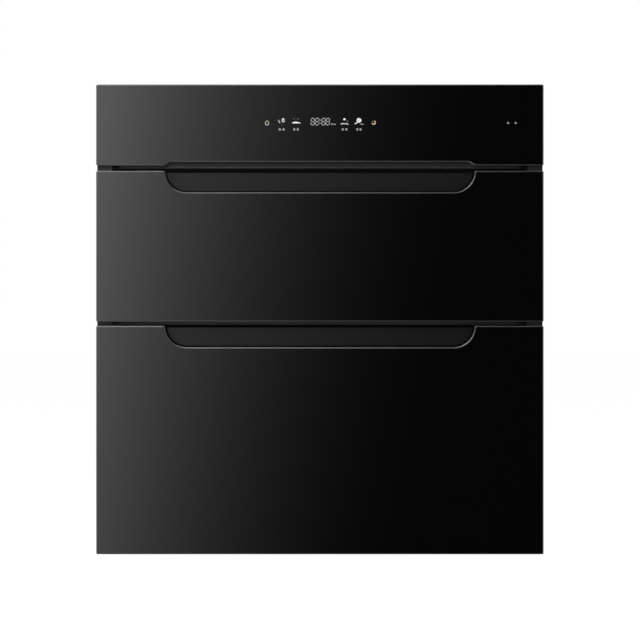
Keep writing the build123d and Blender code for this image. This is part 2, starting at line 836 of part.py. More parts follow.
def slide_middle_member(side, level):
    """Middle member: each edge folds back on itself and runs between the two rows of balls."""
    fold_x = middle_web + fold_width
    fold_level = ball_row - race_half + (ball_depth - race_flat - fold_x)
    with BuildPart() as member:
        with BuildSketch(slide_plane(side, level)):
            with BuildLine():
                Polyline(
                    (middle_web, 0),
                    (middle_web, fold_level),
                    (fold_x, fold_level),
                    (ball_depth - race_half, ball_row - race_flat),
                    (ball_depth + race_half, ball_row - race_flat),
                    (ball_depth + race_flat, inner_row + race_half),
                    (ball_depth + race_flat, inner_row - race_half),
                )
                mirror(about=Plane.XZ)
            trace(line_width=slide_sheet)
        extrude(amount=slide_length / 2, both=True)
    return member


def slide_inner_member(side, level):
    """Inner member on the drawer, with an open groove along each edge for the inner balls."""
    with BuildPart() as member:
        with BuildSketch(slide_plane(side, level)):
            with BuildLine():
                Polyline(
                    (inner_web, 0),
                    (inner_web, inner_row - race_flat),
                    (ball_depth - race_half, inner_row - race_flat),
                    (ball_depth - race_flat, inner_row - race_half),
                    (ball_depth - race_flat, inner_row),
                )
                mirror(about=Plane.XZ)
            trace(line_width=slide_sheet)
        extrude(amount=slide_length / 2, both=True)
        with BuildSketch(Plane(origin=(side * chamber_half, slide_middle, level), z_dir=(-side, 0, 0))):
            with GridLocations(0, slide_length - 2 * slide_hole_inset, 1, 2):
                RegularPolygon(slide_hole_radius, 8)
        extrude(amount=inner_web + slide_sheet, mode=Mode.SUBTRACT)
    return member


# a ball, rounded off with flats at eighths of a turn
with BuildPart() as ball:
    with BuildSketch(Plane.YZ):
        RegularPolygon(ball_radius, 8, rotation=22.5)
    extrude(amount=ball_radius, both=True)
    with BuildSketch(Plane.XZ):
        RegularPolygon(ball_radius, 8, rotation=22.5)
    extrude(amount=ball_radius, both=True, mode=Mode.INTERSECT)


def ball_cages(level, row, web):
    """Pressed cages of the left and right slide with their balls, for one stage of travel."""
    flange = row + cage_offset
    pocket = sqrt(ball_radius**2 - (cage_offset + cage_sheet / 2) ** 2) + cage_gap / 2
    ball_pitch = (cage_length - 20) / (balls_per_row - 1)
    with BuildPart() as cages:
        for side in (-1, 1):
            with BuildSketch(slide_plane(side, level)):
                with Locations(((web + ball_depth + cage_reach) / 2, 0)):
                    Rectangle(ball_depth + cage_reach - web, 2 * (flange + cage_sheet))
                with Locations(((web + ball_depth + cage_reach) / 2 + cage_sheet, 0)):
                    Rectangle(ball_depth + cage_reach - web, 2 * flange, mode=Mode.SUBTRACT)
            extrude(amount=cage_length / 2, both=True)
            with BuildSketch(Plane.XY.offset(level)):
                with Locations((side * (chamber_half - ball_depth), slide_middle)):
                    with GridLocations(0, ball_pitch, 1, balls_per_row):
                        Rectangle(2 * pocket, 2 * pocket)
            extrude(amount=flange + cage_sheet, both=True, mode=Mode.SUBTRACT)
        for side in (-1, 1):
            with Locations(Plane((side * (chamber_half - ball_depth), slide_middle, level))):
                with GridLocations(0, ball_pitch, 1, balls_per_row):
                    with Locations((0, 0, row), (0, 0, -row)):
                        add(ball.part)
    return cages


outer_cage_web = slide_sheet + cage_gap
inner_cage_web = middle_web + slide_sheet / 2 + cage_gap

for drawer, level in (("upper", upper_slide_level), ("lower", lower_slide_level)):
    for hand, side in (("left", -1), ("right", 1)):
        channel = slide_channel(side, level)
        channel.part.label = f"{drawer}_slide_channel_{hand}"
        export_step(channel.part, f"parts/{drawer}_slide_channel_{hand}.step")
        middle_member = slide_middle_member(side, level)
        middle_member.part.label = f"{drawer}_slide_middle_{hand}"
        export_step(middle_member.part, f"parts/{drawer}_slide_middle_{hand}.step")
        inner_member = slide_inner_member(side, level)
        inner_member.part.label = f"{drawer}_slide_inner_{hand}"
        export_step(inner_member.part, f"parts/{drawer}_slide_inner_{hand}.step")
    outer_cages = ball_cages(level, ball_row, outer_cage_web)
    outer_cages.part.label = f"{drawer}_outer_cages"
    export_step(outer_cages.part, f"parts/{drawer}_outer_cages.step")
    inner_cages = ball_cages(level, inner_row, inner_cage_web)
    inner_cages.part.label = f"{drawer}_inner_cages"
    export_step(inner_cages.part, f"parts/{drawer}_inner_cages.step")


# ---- drawers --------------------------------------------------------------------------

bracket_face = chamber_half - inner_web - slide_sheet / 2
rack_half = bracket_face - bracket_sheet - rack_clearance
rack_front = pan_back + press_depth + rack_front_gap
rod_pitch = 2 * (rack_half - 2 * wire_radius) / (rod_count + 1)


def side_brackets(level):
    """Left and right angle brackets from the door pan to the slides, with a ledge for the rack."""
    ledge_level = level - (bracket_height - bracket_sheet) / 2
    with BuildPart() as brackets:
        for side in (-1, 1):
            middle = side * (bracket_face - bracket_sheet / 2)
            with BuildSketch(facing_front(slide_back)):
                with Locations((middle, level)):
                    Rectangle(bracket_sheet, bracket_height)
                with Locations((side * (bracket_face - ledge_width / 2), ledge_level)):
                    Rectangle(ledge_width, bracket_sheet)
            extrude(amount=slide_back - pan_back)
            with BuildSketch(facing_front(pan_back + bracket_sheet)):
                with Locations((side * (bracket_face - ear_width / 2), level)):
                    Rectangle(ear_width, ear_height)
                    with GridLocations(0, ear_height - 12, 1, 2):
                        RegularPolygon(slide_hole_radius, 8, mode=Mode.SUBTRACT)
            extrude(amount=bracket_sheet)
    return brackets


for drawer, level in (("upper", upper_slide_level), ("lower", lower_slide_level)):
    brackets = side_brackets(level)
    brackets.part.label = f"{drawer}_side_brackets"
    export_step(brackets.part, f"parts/{drawer}_side_brackets.step")


def rack_net(seat, back, bearers):
    """Welded base of a rack: a frame and bearers of thick wire with rods across them."""
    bar_level = seat + wire_radius
    rod_level = bar_level + wire_radius + rod_radius - 0.4
    with BuildPart() as net:
        with BuildSketch(Plane.YZ):
            bars = (rack_front + wire_radius, back - wire_radius, *bearers)
            with Locations(*[(y, bar_level) for y in bars]):
                RegularPolygon(wire_radius, wire_sides, major_radius=False, rotation=45)
        extrude(amount=rack_half - wire_radius, both=True)
        with BuildSketch(facing_front(back)):
            with Locations((-rack_half + wire_radius, bar_level), (rack_half - wire_radius, bar_level)):
                RegularPolygon(wire_radius, wire_sides, major_radius=False, rotation=45)
        extrude(amount=back - rack_front)
        with BuildSketch(facing_front(back)):
            with Locations((0, rod_level)):
                with GridLocations(rod_pitch, 0, rod_count, 1):
                    RegularPolygon(rod_radius, wire_sides, major_radius=False, rotation=45)
        extrude(amount=back - rack_front)
    return net


def end_wall(seat, height, y, posts):
    """Front or back wall of a rack: a rail on posts that stand on the frame."""
    with BuildPart() as wall:
        with BuildSketch(Plane.YZ):
            with Locations((y, seat + height - wire_radius)):
                RegularPolygon(wire_radius, wire_sides, major_radius=False, rotation=45)
        extrude(amount=rack_half, both=True)
        with BuildSketch(Plane.XY.offset(seat + 2 * wire_radius)):
            with Locations((0, y)):
                with GridLocations(rod_pitch * (rod_count - 1) / (posts - 1), 0, posts, 1):
                    RegularPolygon(rod_radius, wire_sides, major_radius=False, rotation=45)
        extrude(amount=height - 3.6 * wire_radius)
    return wall


def side_wall(seat, height, x, back, posts):
    """Left or right wall of a rack."""
    front = rack_front + 2 * wire_radius
    with BuildPart() as wall:
        with BuildSketch(facing_front(back - 2 * wire_radius)):
            with Locations((x, seat + height - wire_radius)):
                RegularPolygon(wire_radius, wire_sides, major_radius=False, rotation=45)
        extrude(amount=back - 2 * wire_radius - front)
        with BuildSketch(Plane.XY.offset(seat + 2 * wire_radius)):
            with Locations((x, (front + back) / 2 - wire_radius)):
                with GridLocations(0, (back - front) / posts, 1, posts):
                    RegularPolygon(rod_radius, wire_sides, major_radius=False, rotation=45)
        extrude(amount=height - 3.6 * wire_radius)
    return wall


def hairpins(seat, height, centre):
    """Plate dividers: one arch for each rod gap on the right half, standing on the bearers."""
    foot = seat + 2 * wire_radius
    crown = seat + height
    with BuildPart() as arches:
        for index in range(hairpin_count):
            x = rod_pitch * (index + 0.5)
            front = centre - hairpin_span / 2
            rear = centre + hairpin_span / 2
            with BuildLine() as route:
                Polyline(
                    (x, front, foot),
                    (x, front, crown - hairpin_bend),
                    (x, front + hairpin_bend, crown),
                    (x, rear - hairpin_bend, crown),
                    (x, rear, crown - hairpin_bend),
                    (x, rear, foot),
                )
            with BuildSketch(Plane.XY.offset(foot).move(Location((x, front, 0)))):
                RegularPolygon(rod_radius, wire_sides, major_radius=False, rotation=45)
            sweep(path=route.wires()[0], transition=Transition.RIGHT)
    return arches


def rack(label, seat, height, back, bearers, posts, extra):
    """The welded basket of one drawer: net, four walls and any dividers, each a flat welded panel."""
    panels = [rack_net(seat, back, bearers)]
    for y in (rack_front + wire_radius, back - wire_radius):
        panels.append(end_wall(seat, height, y, posts))
    for x in (wire_radius - rack_half, rack_half - wire_radius):
        panels.append(side_wall(seat, height, x, back, 4))
    return Compound(label=label, children=[panel.part for panel in panels] + extra)


ledge_drop = bracket_height / 2 - bracket_sheet
upper_seat = upper_slide_level - ledge_drop
lower_seat = lower_slide_level - ledge_drop
upper_bearers = ((rack_front + upper_rack_back) / 2 - 50, (rack_front + upper_rack_back) / 2 + 50)
plate_centre = (rack_front + lower_rack_back) / 2
lower_bearers = (plate_centre - hairpin_span / 2, plate_centre + hairpin_span / 2)

upper_rack = rack("upper_rack", upper_seat, upper_wall, upper_rack_back, upper_bearers, 5, [])
export_step(upper_rack, "parts/upper_rack.step")

plate_pins = hairpins(lower_seat, hairpin_height, plate_centre)
dividers = list(plate_pins.solids())
lower_rack = rack("lower_rack", lower_seat, lower_wall, lower_rack_back, lower_bearers, 5, dividers)
export_step(lower_rack, "parts/lower_rack.step")

# Cutlery tray that stands in the left side of the lower rack
tray_seat = lower_seat + 3 * wire_radius + rod_radius * 2 - 0.4 - wire_radius
tray_x = -rack_half + 2 * wire_radius + 3 + tray_width / 2
tray_length = lower_rack_back - rack_front - 8 * wire_radius
with BuildPart() as cutlery_tray:
    with BuildSketch(Plane.XY.offset(tray_seat)):
        with Locations((tray_x, plate_centre)):
            Rectangle(tray_width, tray_length)
    extrude(amount=tray_height)
    offset(amount=-tray_wall, openings=cutlery_tray.faces().sort_by(Axis.Z)[-1])
    with BuildSketch(Plane.XY.offset(tray_seat)):
        with Locations((tray_x, plate_centre)):
            with GridLocations(0, 34, 1, 7):
                Rectangle(tray_width - 24, 5)
    extrude(amount=tray_wall, mode=Mode.SUBTRACT)
cutlery_tray.part.label = "cutlery_tray"
export_step(cutlery_tray.part, "parts/cutlery_tray.step")


# ---- hot-air unit ---------------------------------------------------------------------

shell_front = upper_chamber_back + sheet
shell_back = shell_front + fan_shell_depth
duct_level = fan_level + fan_shell_radius - duct_height / 2

with BuildPart() as fan_housing:
    with BuildSketch(facing_front(shell_back)) as scroll:
        with Locations((fan_x, fan_level)):
            RegularPolygon(fan_shell_radius, 2 * round_sides)
        with Locations((fan_x + duct_length / 2, duct_level)):
            Rectangle(duct_length, duct_height)
    extrude(amount=fan_shell_depth)
    with BuildSketch(facing_front(shell_back - fan_shell_wall)):
        with Locations((fan_x, fan_level)):
            RegularPolygon(fan_shell_radius - fan_shell_wall, 2 * round_sides)
        with Locations((fan_x + duct_length / 2, duct_level)):
            Rectangle(duct_length - 2 * fan_shell_wall, duct_height - 2 * fan_shell_wall)
    extrude(amount=fan_shell_depth - 2 * fan_shell_wall, mode=Mode.SUBTRACT)
    with BuildSketch(facing_front(shell_front + fan_shell_wall)):
        with Locations((fan_x, fan_level)):
            RegularPolygon(fan_inlet_radius, round_sides)
        with Locations((outlet_x, duct_level)):
            Rectangle(outlet_slot_count * air_slot_pitch, outlet_slot_length)
    extrude(amount=fan_shell_wall, mode=Mode.SUBTRACT)
    with BuildSketch(facing_front(shell_back)):
        with Locations((fan_x, fan_level)):
            RegularPolygon(fan_hub_radius, round_sides)
    extrude(amount=fan_shell_wall, mode=Mode.SUBTRACT)
fan_housing.part.label = "fan_housing"
export_step(fan_housing.part, "parts/fan_housing.step")

with BuildPart() as fan_motor:
    with BuildSketch(facing_front(shell_back + motor_length)):
        with Locations((fan_x, fan_level)):
            RegularPolygon(motor_radius, 2 * round_sides)
    extrude(amount=motor_length)
    with BuildSketch(facing_front(shell_back)):
        with Locations((fan_x, fan_level)):
            RegularPolygon(fan_hub_radius, round_sides)
    extrude(amount=fan_shell_wall)
    with BuildSketch(facing_front(shell_back + shaft_engagement + 1)):
        with Locations((fan_x, fan_level)):
            RegularPolygon(shaft_radius + shaft_clearance, round_sides, major_radius=False)
    extrude(amount=shaft_engagement + 1 + fan_shell_wall, mode=Mode.SUBTRACT)
fan_motor.part.label = "fan_motor"
export_step(fan_motor.part, "parts/fan_motor.step")

wheel_back = shell_back - fan_shell_wall - fan_gap
wheel_front = wheel_back - fan_wheel_width
with BuildPart() as fan_wheel:
    with BuildSketch(facing_front(wheel_back)):
        with Locations((fan_x, fan_level)):
            RegularPolygon(fan_wheel_radius, fan_blade_count)
    extrude(amount=fan_blade_sheet)
    with BuildSketch(facing_front(wheel_back)):
        with Locations((fan_x, fan_level)):
            RegularPolygon(fan_hub_radius, round_sides)
    extrude(amount=fan_wheel_width / 2)
    with BuildSketch(facing_front(wheel_front + fan_blade_sheet)):
        with Locations((fan_x, fan_level)):
            RegularPolygon(fan_wheel_radius, fan_blade_count)
            RegularPolygon(fan_wheel_radius - fan_blade_depth, fan_blade_count, mode=Mode.SUBTRACT)
    extrude(amount=fan_blade_sheet)
    # forward-curved blades, each a flat strip set at an angle to the radius
    with BuildSketch(facing_front(wheel_back - fan_blade_sheet)):
        with Locations((fan_x, fan_level)):
            with PolarLocations(fan_wheel_radius - fan_blade_depth / 2 - 0.5, fan_blade_count):
                Rectangle(fan_blade_depth - 1, fan_blade_sheet, rotation=32)
    extrude(amount=fan_wheel_width - 2 * fan_blade_sheet)
    with BuildSketch(facing_front(shell_back + shaft_engagement)):
        with Locations((fan_x, fan_level)):
            RegularPolygon(shaft_radius, round_sides)
    extrude(amount=shaft_engagement + fan_shell_wall + fan_gap)
fan_wheel.part.label = "fan_wheel"
export_step(fan_wheel.part, "parts/fan_wheel.step")

heater_x = fan_x + heater_offset
heater_depth = fan_shell_depth - 2 * fan_shell_wall
heater_height = duct_height - 2 * fan_shell_wall
with BuildPart() as warm_air_heater:
    with BuildSketch(Plane.YZ.offset(heater_x)):
        with Locations(((shell_front + shell_back) / 2, duct_level)):
            Rectangle(heater_depth, heater_height)
            with GridLocations(heater_depth / heater_slot_count, 0, heater_slot_count, 1):
                Rectangle(heater_slot_width, heater_height - 8, mode=Mode.SUBTRACT)
    extrude(amount=heater_length)
warm_air_heater.part.label = "warm_air_heater"
export_step(warm_air_heater.part, "parts/warm_air_heater.step")


# ---- lamps ----------------------------------------------------------------------------

lamp_end_gap = 115
lamp_length = chamber_width - 2 * lamp_end_gap
lamp_radius = 7.75
lamp_setback = 15
lamp_drop = 30
holder_depth_x = 14
holder_height = 24
lamp_socket = 6
guard_count = 5
guard_end = 32
guard_pitch = (lamp_length - 2 * guard_end) / (guard_count - 1)
guard_reach = 13
guard_rise = 15
lamp_y = upper_chamber_back - lamp_setback
lamp_level = upper_roof - lamp_drop
holder_inner = lamp_length / 2 - lamp_socket

with BuildPart() as uv_lamp:
    with BuildSketch(Plane.YZ):
        with Locations((lamp_y, lamp_level)):
            RegularPolygon(lamp_radius, round_sides)
    extrude(amount=lamp_length / 2, both=True)
uv_lamp.part.label = "uv_lamp"
export_step(uv_lamp.part, "parts/uv_lamp.step")

with BuildPart() as uv_lamp_holders:
    for side in (-1, 1):
        with BuildSketch(Plane.YZ.offset(side * (holder_inner + holder_depth_x / 2))):
            with Locations(((lamp_y - lamp_radius - 2 + upper_chamber_back) / 2, lamp_level)):
                Rectangle(upper_chamber_back - lamp_y + lamp_radius + 2, holder_height)
        extrude(amount=holder_depth_x / 2, both=True)
    with BuildSketch(Plane.YZ):
        with Locations((lamp_y, lamp_level)):
            RegularPolygon(lamp_radius, round_sides)
    extrude(amount=lamp_length / 2, both=True, mode=Mode.SUBTRACT)
uv_lamp_holders.part.label = "uv_lamp_holders"
export_step(uv_lamp_holders.part, "parts/uv_lamp_holders.step")


def wire_guard(back, front, bottom, top, half, pitch, count):
    """Guard of bent wires that stand on the rear wall and are tied by two long wires."""
    with BuildPart() as guard:
        with BuildSketch(facing_front(back)):
            with Locations((0, (bottom + top) / 2)):
                with GridLocations(pitch, top - bottom, count, 2):
                    RegularPolygon(guard_wire_radius, 4, rotation=45)
        extrude(amount=back - front)
        with BuildSketch(Plane.XY.offset(bottom)):
            with Locations((0, front)):
                with GridLocations(pitch, 0, count, 1):
                    RegularPolygon(guard_wire_radius, 4, rotation=45)
        extrude(amount=top - bottom)
        with BuildSketch(Plane.YZ):
            with Locations((front, bottom), (front, top)):
                RegularPolygon(guard_wire_radius, 4, rotation=45)
        extrude(amount=half, both=True)
    return guard


guard_wire_radius = 1.5
uv_lamp_guard = wire_guard(
    upper_chamber_back,
    lamp_y - guard_reach,
    lamp_level - guard_rise,
    lamp_level + guard_rise,
    guard_pitch * (guard_count - 1) / 2 + guard_wire_radius,
    guard_pitch,
    guard_count,
)
uv_lamp_guard.part.label = "uv_lamp_guard"
export_step(uv_lamp_guard.part, "parts/uv_lamp_guard.step")

# Infrared tubes on the rear wall of the lower chamber
tube_end_gap = 49
tube_length = chamber_width - 2 * tube_end_gap
tube_radius = 6
tube_setback = 18
tube_rise = 62
tube_spacing = 90
tube_levels = (lower_floor + tube_rise, lower_floor + tube_rise + tube_spacing)
tube_holder_inset = 12
tube_holder_x = tube_length / 2 - tube_holder_inset
tube_holder_height = 24
tube_holder_reach = 10
infrared_guard_count = 7
infrared_guard_pitch = (tube_length - 2 * tube_holder_inset) / (infrared_guard_count - 1)
infrared_guard_reach = 12
tube_y = lower_chamber_back - tube_setback

with BuildPart() as infrared_tubes:
    with BuildSketch(Plane.YZ):
        with Locations(*[(tube_y, level) for level in tube_levels]):
            RegularPolygon(tube_radius, round_sides)
    extrude(amount=tube_length / 2, both=True)
infrared_tubes.part.label = "infrared_tubes"
export_step(infrared_tubes.part, "parts/infrared_tubes.step")

with BuildPart() as infrared_holders:
    for side in (-1, 1):
        for level in tube_levels:
            # a plate that the tube passes through, with a foot on the rear wall
            with BuildSketch(Plane.YZ.offset(side * tube_holder_x)):
                with Locations(((tube_y - tube_holder_reach + lower_chamber_back) / 2, level)):
                    Rectangle(lower_chamber_back - tube_y + tube_holder_reach, tube_holder_height)
                with Locations((tube_y, level)):
                    RegularPolygon(tube_radius, round_sides, mode=Mode.SUBTRACT)
            extrude(amount=bracket_sheet / 2, both=True)
            with BuildSketch(facing_front(lower_chamber_back)):
                with Locations((side * (tube_holder_x - lip_width / 2), level)):
                    Rectangle(lip_width, tube_holder_height)
            extrude(amount=bracket_sheet)
infrared_holders.part.label = "infrared_holders"
export_step(infrared_holders.part, "parts/infrared_holders.step")

infrared_guard = wire_guard(
    lower_chamber_back,
    tube_y - infrared_guard_reach,
    tube_levels[0] - guard_rise,
    tube_levels[1] + guard_rise,
    infrared_guard_pitch * (infrared_guard_count - 1) / 2 + guard_wire_radius,
    infrared_guard_pitch,
    infrared_guard_count,
)
infrared_guard.part.label = "infrared_guard"
export_step(infrared_guard.part, "parts/infrared_guard.step")


# ---- electronics above the upper chamber ----------------------------------------------

shelf_width = 250
shelf_length = 140
shelf_rise = 15
shelf_x = -90
shelf_y = -40
shelf_foot = 9
power_board_margin = 12
spacer_height = 6
spacer_radius = 3
liner_top = upper_roof + sheet
shelf_top = liner_top + shelf_rise
board_base = shelf_top + spacer_height
power_board_width = shelf_width - 2 * power_board_margin
power_board_length = shelf_length - 2 * power_board_margin

with BuildPart() as electronics_shelf:
    with BuildSketch(facing_front(shelf_y + shelf_length / 2)):
        with BuildLine():
            step = shelf_width / 2 - sheet / 2
            foot_line = liner_top + sheet / 2
            top_line = shelf_top - sheet / 2
            Polyline(
                (shelf_x - step - shelf_foot, foot_line),
                (shelf_x - step, foot_line),
                (shelf_x - step, top_line),
                (shelf_x + step, top_line),
                (shelf_x + step, foot_line),
                (shelf_x + step + shelf_foot, foot_line),
            )
        trace(line_width=sheet)
    extrude(amount=shelf_length)
electronics_shelf.part.label = "electronics_shelf"
export_step(electronics_shelf.part, "parts/electronics_shelf.step")

with BuildPart() as power_board:
    with BuildSketch(Plane.XY.offset(board_base)):
        with Locations((shelf_x, shelf_y)):
            Rectangle(power_board_width, power_board_length)
    extrude(amount=board_thickness)
    with BuildSketch(Plane.XY.offset(shelf_top)):
        with Locations((shelf_x, shelf_y)):
            with GridLocations(power_board_width - 12, power_board_length - 12, 2, 2):
                RegularPolygon(spacer_radius, 6)
    extrude(amount=spacer_height)
    # transformer, relays, filter choke, capacitors and the terminal strip
    for x, y, width, depth, height in (
        (-80, 20, 44, 38, 34),
        (-20, 35, 19, 15, 16),
        (6, 35, 19, 15, 16),
        (32, 35, 19, 15, 16),
        (70, 20, 30, 24, 22),
        (0, -44, 90, 14, 13),
    ):
        with BuildSketch(Plane.XY.offset(board_base + board_thickness)):
            with Locations((shelf_x + x, shelf_y + y)):
                Rectangle(width, depth)
        extrude(amount=height)
    with BuildSketch(Plane.XY.offset(board_base + board_thickness)):
        with Locations((shelf_x - 20, shelf_y - 8), (shelf_x + 15, shelf_y - 8)):
            RegularPolygon(8, 8)
    extrude(amount=25)
power_board.part.label = "power_board"
export_step(power_board.part, "parts/power_board.step")
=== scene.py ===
import json
import math

import bpy
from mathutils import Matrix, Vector


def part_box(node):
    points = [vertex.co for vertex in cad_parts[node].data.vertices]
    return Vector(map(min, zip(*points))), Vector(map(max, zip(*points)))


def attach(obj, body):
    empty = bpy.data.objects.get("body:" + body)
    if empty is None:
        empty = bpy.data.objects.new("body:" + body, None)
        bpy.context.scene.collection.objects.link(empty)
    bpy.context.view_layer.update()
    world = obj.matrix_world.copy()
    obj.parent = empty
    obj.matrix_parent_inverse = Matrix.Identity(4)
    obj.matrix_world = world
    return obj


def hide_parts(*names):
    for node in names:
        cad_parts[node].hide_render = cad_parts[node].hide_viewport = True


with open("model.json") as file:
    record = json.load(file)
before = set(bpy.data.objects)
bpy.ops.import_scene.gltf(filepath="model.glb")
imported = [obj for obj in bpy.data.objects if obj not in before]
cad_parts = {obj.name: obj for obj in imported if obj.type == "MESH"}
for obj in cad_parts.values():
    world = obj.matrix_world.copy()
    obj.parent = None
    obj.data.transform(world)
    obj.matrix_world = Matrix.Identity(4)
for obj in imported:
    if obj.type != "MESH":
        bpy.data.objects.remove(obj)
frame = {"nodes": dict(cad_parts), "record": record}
bpy.context.scene.view_settings.view_transform = "Standard"
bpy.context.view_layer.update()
nodes = frame["nodes"]
mm = 0.001


def toLinear(hexText):
    # sRGB hex to the linear colour that a shader takes
    values = [int(hexText[i:i + 2], 16) / 255 for i in (1, 3, 5)]
    return tuple(v / 12.92 if v <= 0.04045 else ((v + 0.055) / 1.055) ** 2.4 for v in values) + (1.0,)


def addNode(tree, kind, settings=None, links=None):
    # settings are the node's own properties or its input sockets, links are sockets that feed its inputs
    node = tree.nodes.new(kind)
    for key, value in (settings or {}).items():
        if isinstance(key, int) or key in node.inputs:
            node.inputs[key].default_value = value
        else:
            setattr(node, key, value)
    for key, source in (links or {}).items():
        tree.links.new(source, node.inputs[key])
    return node


def startMaterial(name, surface):
    # a new material with its Principled shader and Object coordinates
    material = bpy.data.materials.new(name)
    material.use_nodes = True
    tree = material.node_tree
    tree.nodes.clear()
    shader = addNode(tree, "ShaderNodeBsdfPrincipled", surface)
    addNode(tree, "ShaderNodeOutputMaterial", links={"Surface": shader.outputs[0]})
    coords = addNode(tree, "ShaderNodeTexCoord")
    return material, tree, shader, coords.outputs["Object"]


def noiseAt(tree, coords, size, detail=2.0, stretch=(1, 1, 1)):
    # noise whose grain measures size metres
    mapping = addNode(tree, "ShaderNodeMapping", {"Scale": stretch}, {"Vector": coords})
    scale = {"Scale": 1 / size, "Detail": detail}
    return addNode(tree, "ShaderNodeTexNoise", scale, {"Vector": mapping.outputs[0]})


def spread(tree, source, low, high):
    # lays a 0 to 1 pattern out between two values
    return addNode(tree, "ShaderNodeMapRange", {"From Min": 0.3, "From Max": 0.7, "To Min": low, "To Max": high},
                   {"Value": source}).outputs[0]


def tint(tree, source, dark, light):
    # lays a pattern out between two colours
    mix = addNode(tree, "ShaderNodeMix", {"data_type": "RGBA"}, {0: source})
    mix.inputs[6].default_value = toLinear(dark)
    mix.inputs[7].default_value = toLinear(light)
    return mix.outputs[2]


def bump(tree, shader, source, depth):
    node = addNode(tree, "ShaderNodeBump", {"Distance": depth, "Strength": 1.0}, {"Height": source})
    tree.links.new(node.outputs[0], shader.inputs["Normal"])


# tempered soda-lime glass, painted black behind: a mirror-smooth face and a ground, finely frosted bevel
glass = {"body": "#020202", "edge": "#26292b", "edgeDark": "#1c1e20", "polish": 0.02, "ground": 0.42, "ior": 1.52,
         "flatBeyond": 0.97, "grit": 0.4 * mm}
blackGlass, tree, shader, coords = startMaterial(
    "temperedBlackGlass", {"IOR": glass["ior"], "Base Color": toLinear(glass["body"])})
facing = addNode(tree, "ShaderNodeNewGeometry")
axes = addNode(tree, "ShaderNodeSeparateXYZ", links={0: facing.outputs["True Normal"]})
depthways = addNode(tree, "ShaderNodeMath", {"operation": "ABSOLUTE"}, {0: axes.outputs[1]})
bevelMask = addNode(tree, "ShaderNodeMath", {"operation": "LESS_THAN", 1: glass["flatBeyond"]},
                    {0: depthways.outputs[0]})
grit = noiseAt(tree, coords, glass["grit"])
groundColour = tint(tree, grit.outputs[0], glass["edgeDark"], glass["edge"])
edgeMix = addNode(tree, "ShaderNodeMix", {"data_type": "RGBA"}, {0: bevelMask.outputs[0], 7: groundColour})
edgeMix.inputs[6].default_value = toLinear(glass["body"])
tree.links.new(edgeMix.outputs[2], shader.inputs["Base Color"])
polish = addNode(tree, "ShaderNodeMapRange", {"To Min": glass["polish"], "To Max": glass["ground"]},
                 {"Value": bevelMask.outputs[0]})
tree.links.new(polish.outputs[0], shader.inputs["Roughness"])

# powder-coated steel: a slight orange peel of about 1.5 mm in a half-matt black
coat = {"dark": "#0a0a0b", "light": "#0f1011", "roughness": 0.6, "ior": 1.5, "shine": 0.3,
        "peel": 1.5 * mm, "relief": 0.05 * mm}
powderCoat, tree, shader, coords = startMaterial(
    "powderCoatedSteel", {"Roughness": coat["roughness"], "IOR": coat["ior"], "Specular IOR Level": coat["shine"]})
peel = noiseAt(tree, coords, coat["peel"], 3.0)
tree.links.new(tint(tree, peel.outputs[0], coat["dark"], coat["light"]), shader.inputs["Base Color"])
bump(tree, shader, peel.outputs[0], coat["relief"])

# hot-dip galvanised sheet: spangle of about 4 mm, each crystal a little brighter or duller than the next
zincCoat = {"dark": "#a6aaac", "light": "#b7babc", "bright": 0.42, "dull": 0.52, "spangle": 4 * mm}
galvanised, tree, shader, coords = startMaterial("galvanisedSheet", {"Metallic": 1.0})
spangle = addNode(tree, "ShaderNodeTexVoronoi", {"Scale": 1 / zincCoat["spangle"]}, {"Vector": coords})
crystal = addNode(tree, "ShaderNodeSeparateColor", links={0: spangle.outputs["Color"]})
tree.links.new(tint(tree, crystal.outputs[0], zincCoat["dark"], zincCoat["light"]), shader.inputs["Base Color"])
tree.links.new(spread(tree, crystal.outputs[1], zincCoat["bright"], zincCoat["dull"]), shader.inputs["Roughness"])

# brushed stainless sheet: hairlines of about 0.3 mm that run front to back and stretch the highlights
brush = {"dark": "#a8a8a6", "light": "#c6c6c3", "smooth": 0.24, "rough": 0.4,
         "hairline": 0.3 * mm, "stretch": (1, 0.01, 1), "relief": 0.01 * mm}
brushed, tree, shader, coords = startMaterial("brushedStainlessSheet", {"Metallic": 1.0})
hairline = noiseAt(tree, coords, brush["hairline"], 2.0, brush["stretch"])
tree.links.new(tint(tree, hairline.outputs[0], brush["dark"], brush["light"]), shader.inputs["Base Color"])
tree.links.new(spread(tree, hairline.outputs[0], brush["smooth"], brush["rough"]), shader.inputs["Roughness"])
bump(tree, shader, hairline.outputs[0], brush["relief"])

# moulded parts: the fine spark-eroded grain of the tool breaks up the highlights
moulding = {"ior": 1.54, "grain": 0.5 * mm, "relief": 0.02 * mm}


def mouldedPlastic(name, dark, light, roughness, shine=0.5):
    surface = {"Roughness": roughness, "IOR": moulding["ior"], "Specular IOR Level": shine}
    material, tree, shader, coords = startMaterial(name, surface)
    grain = noiseAt(tree, coords, moulding["grain"], 2.0)
    tree.links.new(tint(tree, grain.outputs[0], dark, light), shader.inputs["Base Color"])
    bump(tree, shader, grain.outputs[0], moulding["relief"])
    return material


blackAbs = mouldedPlastic("mouldedBlackAbs", "#0b0b0c", "#101011", 0.42, 0.35)

